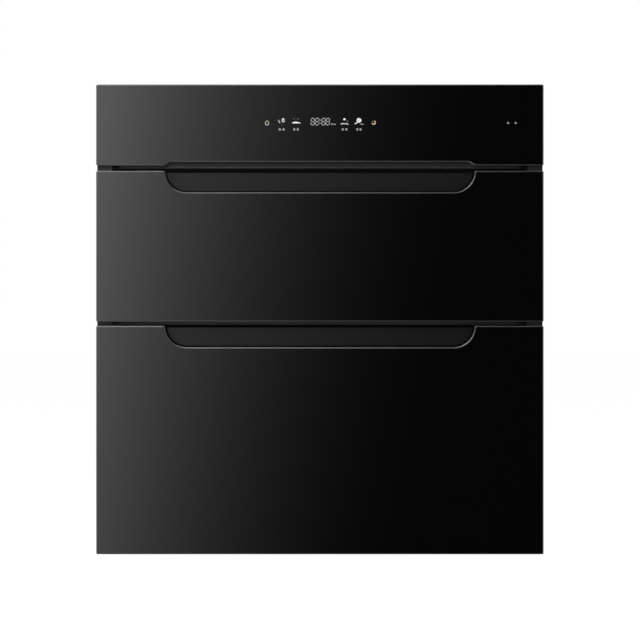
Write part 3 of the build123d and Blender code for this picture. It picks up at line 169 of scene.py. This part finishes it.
# the same plastic in the finger troughs: satin on the plate that faces the hand and matt round it, where a darker
# colour is painted shade for the deep gap round the plate
plate = {"front": -198.6 * mm, "reach": 1.1 * mm, "forward": -0.6, "satin": 0.2, "matt": 0.62,
         "satinShine": 0.2, "mattShine": 0.12, "round": "#060606", "dark": "#0c0c0d", "light": "#121213"}
troughAbsPaintedShade, tree, shader, coords = startMaterial("fingerTroughAbsPaintedShade", {"IOR": moulding["ior"]})
turned = addNode(tree, "ShaderNodeNewGeometry")
axes = addNode(tree, "ShaderNodeSeparateXYZ", links={0: turned.outputs["True Normal"]})
place = addNode(tree, "ShaderNodeSeparateXYZ", links={0: coords})
near = addNode(tree, "ShaderNodeMath", {"operation": "COMPARE", 1: plate["front"], 2: plate["reach"]},
               {0: place.outputs[1]})
frontal = addNode(tree, "ShaderNodeMath", {"operation": "LESS_THAN", 1: plate["forward"]}, {0: axes.outputs[1]})
onPlate = addNode(tree, "ShaderNodeMath", {"operation": "MULTIPLY"}, {0: near.outputs[0], 1: frontal.outputs[0]})
grain = noiseAt(tree, coords, moulding["grain"])
shade = tint(tree, grain.outputs[0], plate["dark"], plate["light"])
# painted shade: the trough round the plate takes a darker colour than the plate itself
plateOverPaintedShade = addNode(tree, "ShaderNodeMix", {"data_type": "RGBA"}, {0: onPlate.outputs[0], 7: shade})
plateOverPaintedShade.inputs[6].default_value = toLinear(plate["round"])
tree.links.new(plateOverPaintedShade.outputs[2], shader.inputs["Base Color"])
sheen = addNode(tree, "ShaderNodeMapRange", {"To Min": plate["matt"], "To Max": plate["satin"]},
                {"Value": onPlate.outputs[0]})
tree.links.new(sheen.outputs[0], shader.inputs["Roughness"])
gloss = addNode(tree, "ShaderNodeMapRange", {"To Min": plate["mattShine"], "To Max": plate["satinShine"]},
                {"Value": onPlate.outputs[0]})
tree.links.new(gloss.outputs[0], shader.inputs["Specular IOR Level"])

# the smaller moulded, pressed and fired parts
whitePolycarbonate = mouldedPlastic("whitePolycarbonate", "#dcdcd8", "#e8e8e4", 0.45)
frostedGuide = mouldedPlastic("frostedLightGuide", "#d8d4c8", "#e8e5dc", 0.5)
greyPolypropylene = mouldedPlastic("greyPolypropylene", "#6d7073", "#7b7e81", 0.4)
siliconeRubber = mouldedPlastic("siliconeRubber", "#38393b", "#434446", 0.65)
footRubber = mouldedPlastic("blackFootRubber", "#191919", "#222222", 0.75)
heaterCeramic = mouldedPlastic("unglazedHeaterCeramic", "#b9b19d", "#cdc6b4", 0.7)
magnetFerrite = mouldedPlastic("sinteredFerrite", "#2b2b2c", "#353536", 0.6)
motorEnamel = mouldedPlastic("blackMotorEnamel", "#1f2022", "#2a2b2d", 0.35)


def platedMetal(name, dark, light, smooth, dull, grain):
    # plated or bare metal whose polish varies over patches of grain metres
    material, tree, shader, coords = startMaterial(name, {"Metallic": 1.0})
    patches = noiseAt(tree, coords, grain, 3.0)
    tree.links.new(tint(tree, patches.outputs[0], dark, light), shader.inputs["Base Color"])
    tree.links.new(spread(tree, patches.outputs[0], smooth, dull), shader.inputs["Roughness"])
    return material


nickelWire = platedMetal("brightNickelWire", "#c9c5bd", "#dad7d0", 0.08, 0.2, 6 * mm)
zincSteel = platedMetal("zincPlatedSteel", "#b0b4b8", "#c8cccf", 0.22, 0.38, 3 * mm)
bareSteel = platedMetal("pressedSteel", "#8f9294", "#a9acae", 0.25, 0.45, 2 * mm)

# fibreglass board: green solder resist, with the copper tracks showing through as rows 2.4 mm apart
resist = {"Scale": 1.0, "Brick Width": 9 * mm, "Row Height": 2.4 * mm, "Mortar Size": 0.3 * mm,
          "Color1": toLinear("#1f5a36"), "Color2": toLinear("#246540"), "Mortar": toLinear("#164528")}
solderBoard, tree, shader, coords = startMaterial("solderResistBoard", {"Roughness": 0.3, "IOR": 1.55})
tracks = addNode(tree, "ShaderNodeTexBrick", resist, {"Vector": coords})
tree.links.new(tracks.outputs[0], shader.inputs["Base Color"])

# quartz tube: clear, with the faint milkiness of drawn silica
silica = {"ior": 1.46, "tint": "#e9f0f6", "clear": 0.85, "haze": 4 * mm, "smooth": 0.05, "milky": 0.18}
quartz, tree, shader, coords = startMaterial(
    "drawnQuartz", {"IOR": silica["ior"], "Transmission Weight": silica["clear"],
                    "Base Color": toLinear(silica["tint"])})
haze = noiseAt(tree, coords, silica["haze"], 2.0)
tree.links.new(spread(tree, haze.outputs[0], silica["smooth"], silica["milky"]), shader.inputs["Roughness"])

# infrared tube: sand-blasted quartz over an orange-brown coil
blasted = {"coil": "#b98d62", "between": "#d9c3a4", "period": 60 * mm, "waver": 0.3, "smooth": 0.35, "rough": 0.5}
frostedQuartz, tree, shader, coords = startMaterial("frostedQuartz", {"IOR": silica["ior"]})
coil = addNode(tree, "ShaderNodeTexWave",
               {"bands_direction": "X", "Scale": 1 / blasted["period"], "Distortion": blasted["waver"]},
               {"Vector": coords})
tree.links.new(tint(tree, coil.outputs[1], blasted["coil"], blasted["between"]), shader.inputs["Base Color"])
tree.links.new(spread(tree, coil.outputs[1], blasted["smooth"], blasted["rough"]), shader.inputs["Roughness"])

finishes = {
    "black_glass": blackGlass, "dark_paint": powderCoat, "galvanised_sheet": galvanised,
    "stainless_sheet": brushed, "black_plastic": blackAbs, "white_plastic": whitePolycarbonate,
    "light_guide": frostedGuide, "circuit_board": solderBoard, "silicone": siliconeRubber,
    "foot_rubber": footRubber, "screw_steel": zincSteel, "plated_wire": nickelWire,
    "tray_plastic": greyPolypropylene, "lamp_quartz": quartz, "infrared_quartz": frostedQuartz,
    "probe_steel": brushed, "fan_steel": galvanised, "motor_steel": motorEnamel,
    "heater_ceramic": heaterCeramic, "magnet_ferrite": magnetFerrite, "slide_zinc": zincSteel,
    "cage_steel": bareSteel,
}
# the pulls take the finger-trough plastic, whose darker colour round the plate is painted shade
for entry in frame["record"]["subparts"]:
    for holder in nodes[entry["node"]].material_slots:
        holder.material = troughAbsPaintedShade if "pull" in entry["node"] else finishes[entry["material_slot"]]
print("materials on", len(nodes), "nodes")


def litMark(name, colour, strength):
    # the glass glows where a light guide shines through the unpainted sign
    material, tree, shader, coords = startMaterial(name, {"Base Color": toLinear("#101010"), "Roughness": 0.4})
    shader.inputs["Emission Color"].default_value = toLinear(colour)
    shader.inputs["Emission Strength"].default_value = strength
    return material


def arc(centreX, centreZ, radius, startAngle, endAngle, steps=12):
    # points along an arc, angles in degrees from +X
    turns = [math.radians(startAngle + (endAngle - startAngle) * i / steps) for i in range(steps + 1)]
    return [(centreX + radius * math.cos(a), centreZ + radius * math.sin(a)) for a in turns]


def tubeAlong(name, paths, radius, rounds=2, closed=()):
    # one mesh of round wire that follows each path of points in metres
    bpy.ops.object.select_all(action="DESELECT")
    curve = bpy.data.curves.new(name, "CURVE")
    curve.dimensions = "3D"
    curve.bevel_depth = radius
    curve.bevel_resolution = rounds
    curve.use_fill_caps = True
    for index, path in enumerate(paths):
        spline = curve.splines.new("POLY")
        spline.points.add(len(path) - 1)
        for point, place in zip(spline.points, path):
            point.co = (*place, 1)
        spline.use_cyclic_u = index in closed
    piece = bpy.data.objects.new(name, curve)
    bpy.context.collection.objects.link(piece)
    bpy.context.view_layer.objects.active = piece
    piece.select_set(True)
    bpy.ops.object.convert(target="MESH")
    return bpy.context.view_layer.objects.active


def settle(piece, body, material):
    piece.data.materials.clear()
    piece.data.materials.append(material)
    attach(piece, body)


# the signs stand a hair proud of the control glass, in millimetres
face = {"front": -215.01, "depth": 0.06}


def mark(name, strokes, width, material, closed=()):
    # a sign on the control glass: strokes in millimetres, seen from the front
    paths = [[(x * mm, 0, z * mm) for x, z in stroke] for stroke in strokes]
    piece = tubeAlong(name, paths, width / 2 * mm, 1, closed)
    bpy.ops.object.mode_set(mode="EDIT")
    bpy.ops.mesh.select_all(action="SELECT")
    bpy.ops.transform.resize(value=(1, face["depth"] / width, 1), center_override=(0, 0, 0))
    bpy.ops.transform.translate(value=(0, (face["front"] + face["depth"] / 2) * mm, 0))
    bpy.ops.object.mode_set(mode="OBJECT")
    settle(piece, "cabinet", material)


digitWhite = litMark("displayDigits", "#d6d8d8", 1.15)
brightWhite = litMark("brightSign", "#ffffff", 1.1)
milkWhite = litMark("milkySign", "#eceae6", 0.8)
softWhite = litMark("softSign", "#dcd8d4", 0.8)
greySign = litMark("greySign", "#acaca8", 0.85)
sand = litMark("sandSign", "#d0cab4", 0.75)
gold = litMark("goldSign", "#e6cfae", 0.85)
dimBrown = litMark("dimBrownSign", "#7a675c", 0.5)
greyDot = litMark("greyIndicator", "#9a9a9a", 0.9)

# four seven-bar digits and a colon, the bars leaning a little
clock = {"lefts": (-11.8, -5.8, 2.5, 8.3), "wide": 4.5, "low": 571.7, "high": 580.7, "bar": 0.95, "lean": 0.6,
         "corner": 0.75, "colon": (0.25, 0.95), "dots": 2}
middle = (clock["low"] + clock["high"]) / 2
corner = clock["corner"]


def leaning(x, z):
    return (x + clock["lean"] * (z - middle) / (clock["high"] - clock["low"]), z)


bars = []
for left in clock["lefts"]:
    right = left + clock["wide"]
    for level in (clock["low"], middle, clock["high"]):
        bars.append([leaning(left + corner, level), leaning(right - corner, level)])
    for side in (left, right):
        for low, high in ((clock["low"], middle), (middle, clock["high"])):
            bars.append([leaning(side, low + corner), leaning(side, high - corner)])
for level in (middle - clock["dots"], middle + clock["dots"]):
    bars.append([(x, level) for x in clock["colon"]])
mark("clockDigits", bars, clock["bar"], digitWhite)
mark("unitSign", [[(15.4, 573.4), (15.4, 572.0)], [(17.2, 573.4), (17.2, 572.0)], [(15.2, 573.4), (17.4, 573.4)],
                  [(19.0, 573.4), (19.0, 572.0)], [(20.8, 573.4), (20.8, 572.0)], [(18.8, 572.3), (21.0, 572.3)]],
     0.8, milkWhite)


def disc(x, z, radius):
    # a stroke as wide as the disc's radius that closes over its own centre
    return arc(x, z, radius * 0.44, 0, 360, 14)


# signs left of the clock: a drop, a cup beside a tilted plate, and a dish under steam
mark("dropSign", [[(-70.2, 577.6), (-72.0, 575.6)] + arc(-70.3, 574.0, 2.3, 150, 390, 16) + [(-68.4, 575.6)]],
     1.7, sand, closed=(0,))
mark("cupBody", [disc(-48.7, 577.3, 3.3)], 3.3, greySign)
mark("cupRim", [disc(-48.7, 579.5, 2.0)], 2.0, milkWhite)
mark("tiltedPlate", [[(-55.0, 578.6), (-54.6, 577.0), (-53.9, 575.6), (-52.9, 574.4)]], 2.7, greySign)
mark("tiltedRim", [[(-54.0, 576.4), (-53.2, 574.8)]], 1.6, milkWhite)
mark("cupFoot", [[(-51.2, 571.9), (-49.6, 571.9)]], 1.0, dimBrown)
mark("dishSign", [[(-37.0, 574.3), (-34.6, 575.0), (-31.6, 575.2), (-28.6, 574.8), (-25.8, 574.2)]], 2.3, milkWhite)
mark("dishShine", [[(-34.8, 574.9), (-31.6, 575.1), (-29.0, 574.7)]], 3.2, brightWhite)
mark("dishSteam", [[(-36.0, 579.9), (-33.4, 579.9)], [(-30.4, 579.9), (-27.4, 579.9)]], 1.3, dimBrown)

# signs right of the clock: a hot spot over a dish, a covered plate and a crescent
mark("hotSpot", [disc(32.6, 579.4, 1.9)], 1.9, brightWhite)
mark("hotDish", [[(27.8, 572.6), (29.8, 573.7), (32.4, 573.3)], [(32.8, 573.4), (35.2, 573.5), (38.0, 572.6)]],
     2.4, softWhite)
mark("hotSteam", [[(36.2, 577.8), (37.3, 575.8)]], 0.9, greySign)
mark("coverDome", [disc(52.0, 577.8, 4.5)], 4.5, milkWhite)
mark("coverStem", [[(51.0, 575.8), (48.8, 574.4), (46.4, 573.2)]], 2.4, milkWhite)
mark("coverShine", [disc(53.6, 578.1, 2.2)], 2.2, brightWhite)
mark("coverPlate", [[(53.6, 573.0), (58.2, 572.6)]], 1.8, greySign)
mark("crescentSign", [arc(71.5, 574.9, 2.2, -165, 65, 14)], 2.1, gold)
mark("crescentHorn", [arc(71.5, 574.9, 2.2, 75, 185, 10)], 1.2, dimBrown)

# two small tiles of three bars under each lit sign
caption = {"xs": (-53.3, -48.3, -34.0, -29.4, 30.4, 35.3, 49.7, 54.0), "level": 565.9, "half": 1.3, "pitch": 1.05,
           "bar": 0.75}
tiles = []
for x in caption["xs"]:
    for row in (-1, 0, 1):
        level = caption["level"] + row * caption["pitch"]
        tiles.append([(x - caption["half"], level), (x + caption["half"], level)])
mark("captionTiles", tiles, caption["bar"], milkWhite)

# two indicator dots at the right
mark("indicatorDots", [disc(x, 574.5, 1.9) for x in (250.3, 260.3)], 1.9, greyDot)
print("signs on the control glass")


def softBlock(name, low, high, edge, body, material):
    # a moulded block between two opposite corners in millimetres, its edges rounded
    bpy.ops.object.select_all(action="DESELECT")
    bpy.ops.mesh.primitive_cube_add(size=1, location=(0, 0, 0))
    piece = bpy.context.object
    piece.name = name
    spans = [(b - a) * mm for a, b in zip(low, high)]
    centre = [(a + b) / 2 * mm for a, b in zip(low, high)]
    bpy.ops.object.mode_set(mode="EDIT")
    bpy.ops.mesh.select_all(action="SELECT")
    bpy.ops.transform.resize(value=spans, center_override=(0, 0, 0))
    bpy.ops.mesh.bevel(offset=edge * mm, segments=3, affect="EDGES")
    bpy.ops.transform.translate(value=centre)
    bpy.ops.object.mode_set(mode="OBJECT")
    settle(piece, body, material)


# the ends of the gap strips reach down behind the edge of the drawer glass
gapEnds = {"outer": 296.5, "inner": 276.5, "front": -207.5, "back": -191.0, "edge": 0.4}
for level, low, high in (("upper", 507.3, 514.4), ("lower", 301.2, 306.9)):
    for side, turn in (("Left", -1), ("Right", 1)):
        inner, outer = sorted((turn * gapEnds["inner"], turn * gapEnds["outer"]))
        softBlock(level + "GapEnd" + side, (inner, gapEnds["front"], low), (outer, gapEnds["back"], high),
                  gapEnds["edge"], "cabinet", blackAbs)
print("gap ends")


def roundedPath(corners, bend, closed=False, steps=5):
    # the corner points of a bent wire, each corner swept round at radius bend
    count = len(corners)
    points = []
    for index, corner in enumerate(corners):
        corner = Vector(corner)
        if not closed and index in (0, count - 1):
            points.append(tuple(corner))
            continue
        before = (Vector(corners[index - 1]) - corner).normalized()
        after = (Vector(corners[(index + 1) % count]) - corner).normalized()
        half = before.angle(after) / 2
        reach = bend / math.tan(half)
        centre = corner + (before + after).normalized() * (bend / math.sin(half))
        start = (corner + before * reach - centre).normalized()
        end = (corner + after * reach - centre).normalized()
        for step in range(steps + 1):
            points.append(tuple(centre + start.slerp(end, step / steps) * bend))
    return points


# the round wires lie just inside the solids' outline, and sink into each other where they are welded
rackFit = {"inset": 0.3 * mm, "sink": 0.4 * mm, "weld": 0.5 * mm}


def buildRack(name, node, body, rack):
    # welded rack: two loops of thick wire, with thinner wires bent up at both ends to the upper loop
    low, high = (Vector(corner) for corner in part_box(node))
    thick, thin = rack["loopWire"] / 2, rack["wire"] / 2
    inset, weld = thick + rackFit["inset"], rackFit["weld"]
    front, back = low.y + inset, high.y - inset
    left, right = low.x + inset, high.x - inset
    seat = low.z + thick
    rail = low.z + rack["wallHeight"] - thick
    loops = []
    for level in (seat, rail):
        corners = [(left, front, level), (right, front, level), (right, back, level), (left, back, level)]
        loops.append(roundedPath(corners, rack["loopBend"], closed=True))
    frameLoops = tubeAlong(name + "Loops", loops, thick, 3, closed=(0, 1))
    settle(frameLoops, body, nickelWire)
    wires = []
    floorLevel = seat + thick + thin - rackFit["sink"]
    frontRow, backRow = front + thick + thin - weld, back - thick - thin + weld
    for index in range(rack["rods"]):
        x = (index - (rack["rods"] - 1) / 2) * rack["rodPitch"]
        corners = [(x, frontRow, rail), (x, frontRow, floorLevel), (x, backRow, floorLevel), (x, backRow, rail)]
        wires.append(roundedPath(corners, rack["bend"]))
    for y in rack["crossWires"]:
        corners = [(left + thick + thin, y, rail), (left + thick + thin, y, seat),
                   (right - thick - thin, y, seat), (right - thick - thin, y, rail)]
        wires.append(roundedPath(corners, rack["bend"]))
    for x, start, end, crown in rack.get("dividers", []):
        corners = [(x, start, seat), (x, start, crown), (x, end, crown), (x, end, seat)]
        wires.append(roundedPath(corners, rack["dividerBend"]))
    rods = tubeAlong(name + "Wires", wires, thin, 3)
    settle(rods, body, nickelWire)
    for piece in (frameLoops, rods):
        bpy.ops.object.select_all(action="DESELECT")
        bpy.context.view_layer.objects.active = piece
        piece.select_set(True)
        bpy.ops.object.shade_smooth_by_angle(angle=math.radians(50))
        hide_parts(node)


rackWires = {"loopWire": 4 * mm, "wire": 3.2 * mm, "loopBend": 14 * mm, "bend": 9 * mm,
             "rods": 11, "rodPitch": 40.217 * mm}
upperRack = {**rackWires, "wallHeight": 62 * mm, "crossWires": [-87.5 * mm, -37.5 * mm, 12.5 * mm]}
lowerRack = {**rackWires, "wallHeight": 54 * mm, "crossWires": [-102.5 * mm, -27.5 * mm, 47.5 * mm],
             "dividerBend": 20 * mm, "dividers": []}
divider = {"count": 5, "front": -102.5 * mm, "back": 47.5 * mm, "crown": 138.4 * mm}
for index in range(divider["count"]):
    lowerRack["dividers"].append(
        ((index + 0.5) * rackWires["rodPitch"], divider["front"], divider["back"], divider["crown"]))
buildRack("upperRack", "upper_rack", "upper_drawer", upperRack)
buildRack("lowerRack", "lower_rack", "lower_drawer", lowerRack)
print("racks")


def turnedPiece(name, profile, centre, axis, side, steps=32, angle=30):
    # a turned piece: its closed profile of (radius, along) in millimetres spins round the axis through centre
    bpy.ops.object.select_all(action="DESELECT")
    curve = bpy.data.curves.new(name, "CURVE")
    curve.dimensions = "3D"
    spline = curve.splines.new("POLY")
    spline.points.add(len(profile) - 1)
    spline.use_cyclic_u = True
    middle = Vector(centre) * mm
    for point, (radius, along) in zip(spline.points, profile):
        place = middle + Vector(side) * radius * mm + Vector(axis) * along * mm
        point.co = (*place, 1)
    piece = bpy.data.objects.new(name, curve)
    bpy.context.collection.objects.link(piece)
    bpy.context.view_layer.objects.active = piece
    piece.select_set(True)
    bpy.ops.object.convert(target="MESH")
    piece = bpy.context.view_layer.objects.active
    bpy.ops.object.mode_set(mode="EDIT")
    bpy.ops.mesh.select_all(action="SELECT")
    bpy.ops.mesh.spin(steps=steps, angle=math.radians(360), center=middle, axis=axis)
    bpy.ops.mesh.select_all(action="SELECT")
    bpy.ops.mesh.remove_doubles(threshold=0.01 * mm)
    bpy.ops.mesh.normals_make_consistent(inside=False)
    bpy.ops.object.mode_set(mode="OBJECT")
    bpy.ops.object.shade_smooth_by_angle(angle=math.radians(angle))
    return piece


alongY, alongZ, sideX = (0, 1, 0), (0, 0, 1), (1, 0, 0)

# rubber feet: tapered, with a rounded rim and a sunken screw hole
foot = {"x": 240.0, "ys": (-143.6, 156.4),
        "profile": [(2.2, 3.5), (6.0, 3.5), (6.4, 3.1), (6.4, 0.6), (7.0, 0), (14.2, 0), (14.9, 0.3), (15.2, 1.0),
                    (16.0, 11.4), (15.6, 12.0), (2.2, 12.0)]}
for index, y in enumerate(foot["ys"]):
    for side, turn in (("Left", -1), ("Right", 1)):
        piece = turnedPiece(("front", "rear")[index] + "Foot" + side, foot["profile"],
                            (turn * foot["x"], y, 0), alongZ, sideX)
        settle(piece, "cabinet", footRubber)
        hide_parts("rubber_feet")

# cover screws: pan heads with a socket, the shank in the cover
coverBack = 197
headPlaces = [(-271, 72), (-271, 494), (271, 72), (271, 494), (-150, 587), (150, 587)]
headProfile = [(0.05, -8.8), (1.2, -8.8), (1.6, -8.2), (1.6, 0), (3.5, 0), (3.6, 0.3), (3.3, 1.1), (2.5, 1.8),
               (1.5, 2.1), (1.3, 2.1), (1.2, 1.1), (0.05, 1.0)]
for index, (x, z) in enumerate(headPlaces):
    piece = turnedPiece("coverScrew%d" % (index + 1), headProfile, (x, coverBack, z), alongY, sideX, 24)
    settle(piece, "cabinet", zincSteel)
    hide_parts("cover_screws")

# cable gland: hexagon against the cover, domed clamping nut, clear bore for the cord
glandCentre = (200, 0, 545)
hexProfile = [(8.2, 197), (13.2, 197), (13.8, 197.6), (13.8, 203.2), (12.9, 204), (8.2, 204)]
nutProfile = [(4.1, 187.2), (7.6, 187.2), (8.0, 187.7), (8.0, 200), (10.9, 203.6), (11.3, 204.4), (11.3, 209),
              (11.0, 211), (10.2, 213), (8.9, 214.4), (7.4, 214.9), (6.0, 214.5), (5.2, 213.4), (5.0, 211),
              (4.1, 210)]
glandParts = (("glandHexagon", hexProfile, alongZ, 6), ("glandNut", nutProfile, sideX, 36))
for name, profile, side, steps in glandParts:
    piece = turnedPiece(name, profile, glandCentre, alongY, side, steps)
    settle(piece, "cabinet", blackAbs)
    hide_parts("cable_gland")
print("feet, cover screws and cable gland")


def seenRays(tree):
    # 1 for what the camera sees itself, in a mirror or through glass, and 0 for light that falls on the object
    rays = addNode(tree, "ShaderNodeLightPath")
    seen = addNode(tree, "ShaderNodeMath", {"operation": "MAXIMUM"},
                   {0: rays.outputs["Is Camera Ray"], 1: rays.outputs["Is Glossy Ray"]})
    seenThrough = addNode(tree, "ShaderNodeMath", {"operation": "MAXIMUM"},
                          {0: seen.outputs[0], 1: rays.outputs["Is Transmission Ray"]})
    return seenThrough.outputs[0]


# white paper: it catches the object's shadow, and the camera sees it white
paper = {"size": 60, "colour": "#f4f4f4", "roughness": 0.8, "glow": 0.89, "shade": 0.26}
bpy.ops.object.select_all(action="DESELECT")
bpy.ops.mesh.primitive_plane_add(size=paper["size"], location=(0, 0, 0))
floor = bpy.context.object
floor.name = "studioFloor"
floorPaper, tree, shader, coords = startMaterial(
    "whiteFloorPaper", {"Roughness": paper["roughness"], "Base Color": toLinear(paper["colour"])})
paperGlow = addNode(tree, "ShaderNodeEmission", {"Strength": 1.0, "Color": (paper["glow"],) * 3 + (1,)})
dimPaper = addNode(tree, "ShaderNodeBsdfDiffuse", {"Color": (paper["shade"],) * 3 + (1,)})
brightPaper = addNode(tree, "ShaderNodeAddShader", links={0: paperGlow.outputs[0], 1: dimPaper.outputs[0]})
paperMix = addNode(tree, "ShaderNodeMixShader",
                   links={0: seenRays(tree), 1: shader.outputs[0], 2: brightPaper.outputs[0]})
output = [n for n in tree.nodes if n.type == "OUTPUT_MATERIAL"][0]
tree.links.new(paperMix.outputs[0], output.inputs[0])
floor.data.materials.append(floorPaper)
floor.visible_glossy = False  # mirrors see the white studio below the horizon too

# white surroundings, dimmer as a light than as a background
studio = {"light": 0.4, "background": 1.0}
world = bpy.data.worlds.new("whiteStudio")
bpy.context.scene.world = world
world.use_nodes = True
tree = world.node_tree
tree.nodes.clear()
level = addNode(tree, "ShaderNodeMapRange", {"To Min": studio["light"], "To Max": studio["background"]},
                {"Value": seenRays(tree)})
sky = addNode(tree, "ShaderNodeBackground", {"Color": (1, 1, 1, 1)}, {"Strength": level.outputs[0]})
addNode(tree, "ShaderNodeOutputWorld", links={"Surface": sky.outputs[0]})

# camera straight in front, far enough back to flatten the view
view = {"lens": 200, "sensor": 36, "distance": 4.727, "x": 0.15 * mm, "z": 312.5 * mm, "glass": -215 * mm}
cameraData = bpy.data.cameras.new("camera")
cameraData.lens = view["lens"]
cameraData.sensor_width = view["sensor"]
cameraData.clip_end = 100
camera = bpy.data.objects.new("camera", cameraData)
bpy.context.collection.objects.link(camera)
camera.location = (view["x"], view["glass"] - view["distance"], view["z"])
camera.rotation_euler = (math.radians(90), 0, 0)
bpy.context.scene.camera = camera


def lightCard(name, card):
    # a panel that only mirrors and highlights see, bright at its left and dark at its right
    bpy.ops.object.select_all(action="DESELECT")
    bpy.ops.mesh.primitive_plane_add(size=card["size"], location=card["place"],
                                     rotation=(math.radians(card["tilt"]), 0, 0))
    panel = bpy.context.object
    panel.name = name
    material = bpy.data.materials.new(name)
    material.use_nodes = True
    tree = material.node_tree
    tree.nodes.clear()
    coords = addNode(tree, "ShaderNodeTexCoord")
    place = addNode(tree, "ShaderNodeSeparateXYZ", links={0: coords.outputs["Object"]})
    lean = addNode(tree, "ShaderNodeMath", {"operation": "MULTIPLY", 1: -card["slant"]}, {0: place.outputs[1]})
    along = addNode(tree, "ShaderNodeMath", {"operation": "ADD"}, {0: place.outputs[0], 1: lean.outputs[0]})
    fade = addNode(tree, "ShaderNodeMapRange",
                   {"From Min": card["bright"], "From Max": card["dark"], "To Min": 1.0, "To Max": 0.0},
                   {"Value": along.outputs[0]})
    curved = addNode(tree, "ShaderNodeMath", {"operation": "POWER", 1: card["power"]}, {0: fade.outputs[0]})
    outer = addNode(tree, "ShaderNodeMapRange", {"From Min": card["bright"] - card["strip"],
                                                 "From Max": card["bright"] - card["strip"] / 2},
                    {"Value": along.outputs[0]})
    beside = addNode(tree, "ShaderNodeMath", {"operation": "ABSOLUTE"}, {0: place.outputs[1]})
    softened = addNode(tree, "ShaderNodeMapRange",
                       {"interpolation_type": "SMOOTHSTEP", "From Min": card["core"] * card["size"],
                        "From Max": card["size"] / 2, "To Min": 1.0, "To Max": 0.0}, {"Value": beside.outputs[0]})
    ends = addNode(tree, "ShaderNodeMath", {"operation": "MULTIPLY"}, {0: outer.outputs[0], 1: softened.outputs[0]})
    shape = addNode(tree, "ShaderNodeMath", {"operation": "MULTIPLY"}, {0: curved.outputs[0], 1: ends.outputs[0]})
    lit = addNode(tree, "ShaderNodeMapRange", {"To Min": card["low"], "To Max": card["peak"]},
                  {"Value": shape.outputs[0]})
    glow = addNode(tree, "ShaderNodeEmission", {"Color": (1, 1, 1, 1)}, {"Strength": lit.outputs[0]})
    addNode(tree, "ShaderNodeOutputMaterial", links={"Surface": glow.outputs[0]})
    panel.data.materials.append(material)
    panel.visible_camera = False
    panel.visible_diffuse = False
    panel.visible_shadow = False


# a broad panel far behind the camera: the glass shows it smaller, by the ratio of the two distances
halfWidth = 297.5 * mm
farPanel = {"size": 12.0, "place": (0, -7.5, view["z"]), "tilt": 90, "slant": 0.17, "shift": 0.093,
            "strip": 1.2, "power": 3.5, "low": 0.02, "peak": 2.2, "core": 0.4}
shrink = 1 + (view["glass"] - farPanel["place"][1]) / view["distance"]
farPanel["bright"] = -halfWidth * shrink - farPanel["shift"]
farPanel["dark"] = halfWidth * shrink - farPanel["shift"]
lightCard("farPanel", farPanel)

# and one above and one below the front, which light the ground edges of the glass
nearPanel = {"size": 1.6, "tilt": 0, "slant": 0.0, "bright": -0.45, "dark": 0.26, "strip": 0.35, "power": 1.2,
             "low": 0.0, "core": 0.1}
lightCard("upperPanel", {**nearPanel, "peak": 22.0, "place": (0, -0.83, 1.1)})
lightCard("lowerPanel", {**nearPanel, "peak": 5.0, "place": (0, -0.83, -0.4)})


def areaLamp(name, place, target, size, watts):
    data = bpy.data.lights.new(name, "AREA")
    data.size = size
    data.energy = watts
    lamp = bpy.data.objects.new(name, data)
    bpy.context.collection.objects.link(lamp)
    lamp.location = place
    lamp.rotation_euler = (Vector(target) - Vector(place)).to_track_quat("-Z", "Y").to_euler()
    lamp.visible_glossy = False
    lamp.visible_camera = False


# name, place, target, size in metres and watts
lamps = [("keyLamp", (-1.6, -2.4, 2.4), (0, 0, 0.3), 1.6, 60),
         ("nearLamp", (-0.85, -0.85, 0.7), (-0.2, -0.2, 0.4), 0.5, 14),
         ("topLamp", (0.4, -0.4, 2.6), (0, 0, 0.3), 1.8, 24)]
for lampSettings in lamps:
    areaLamp(*lampSettings)
print("stage, lamps and camera")
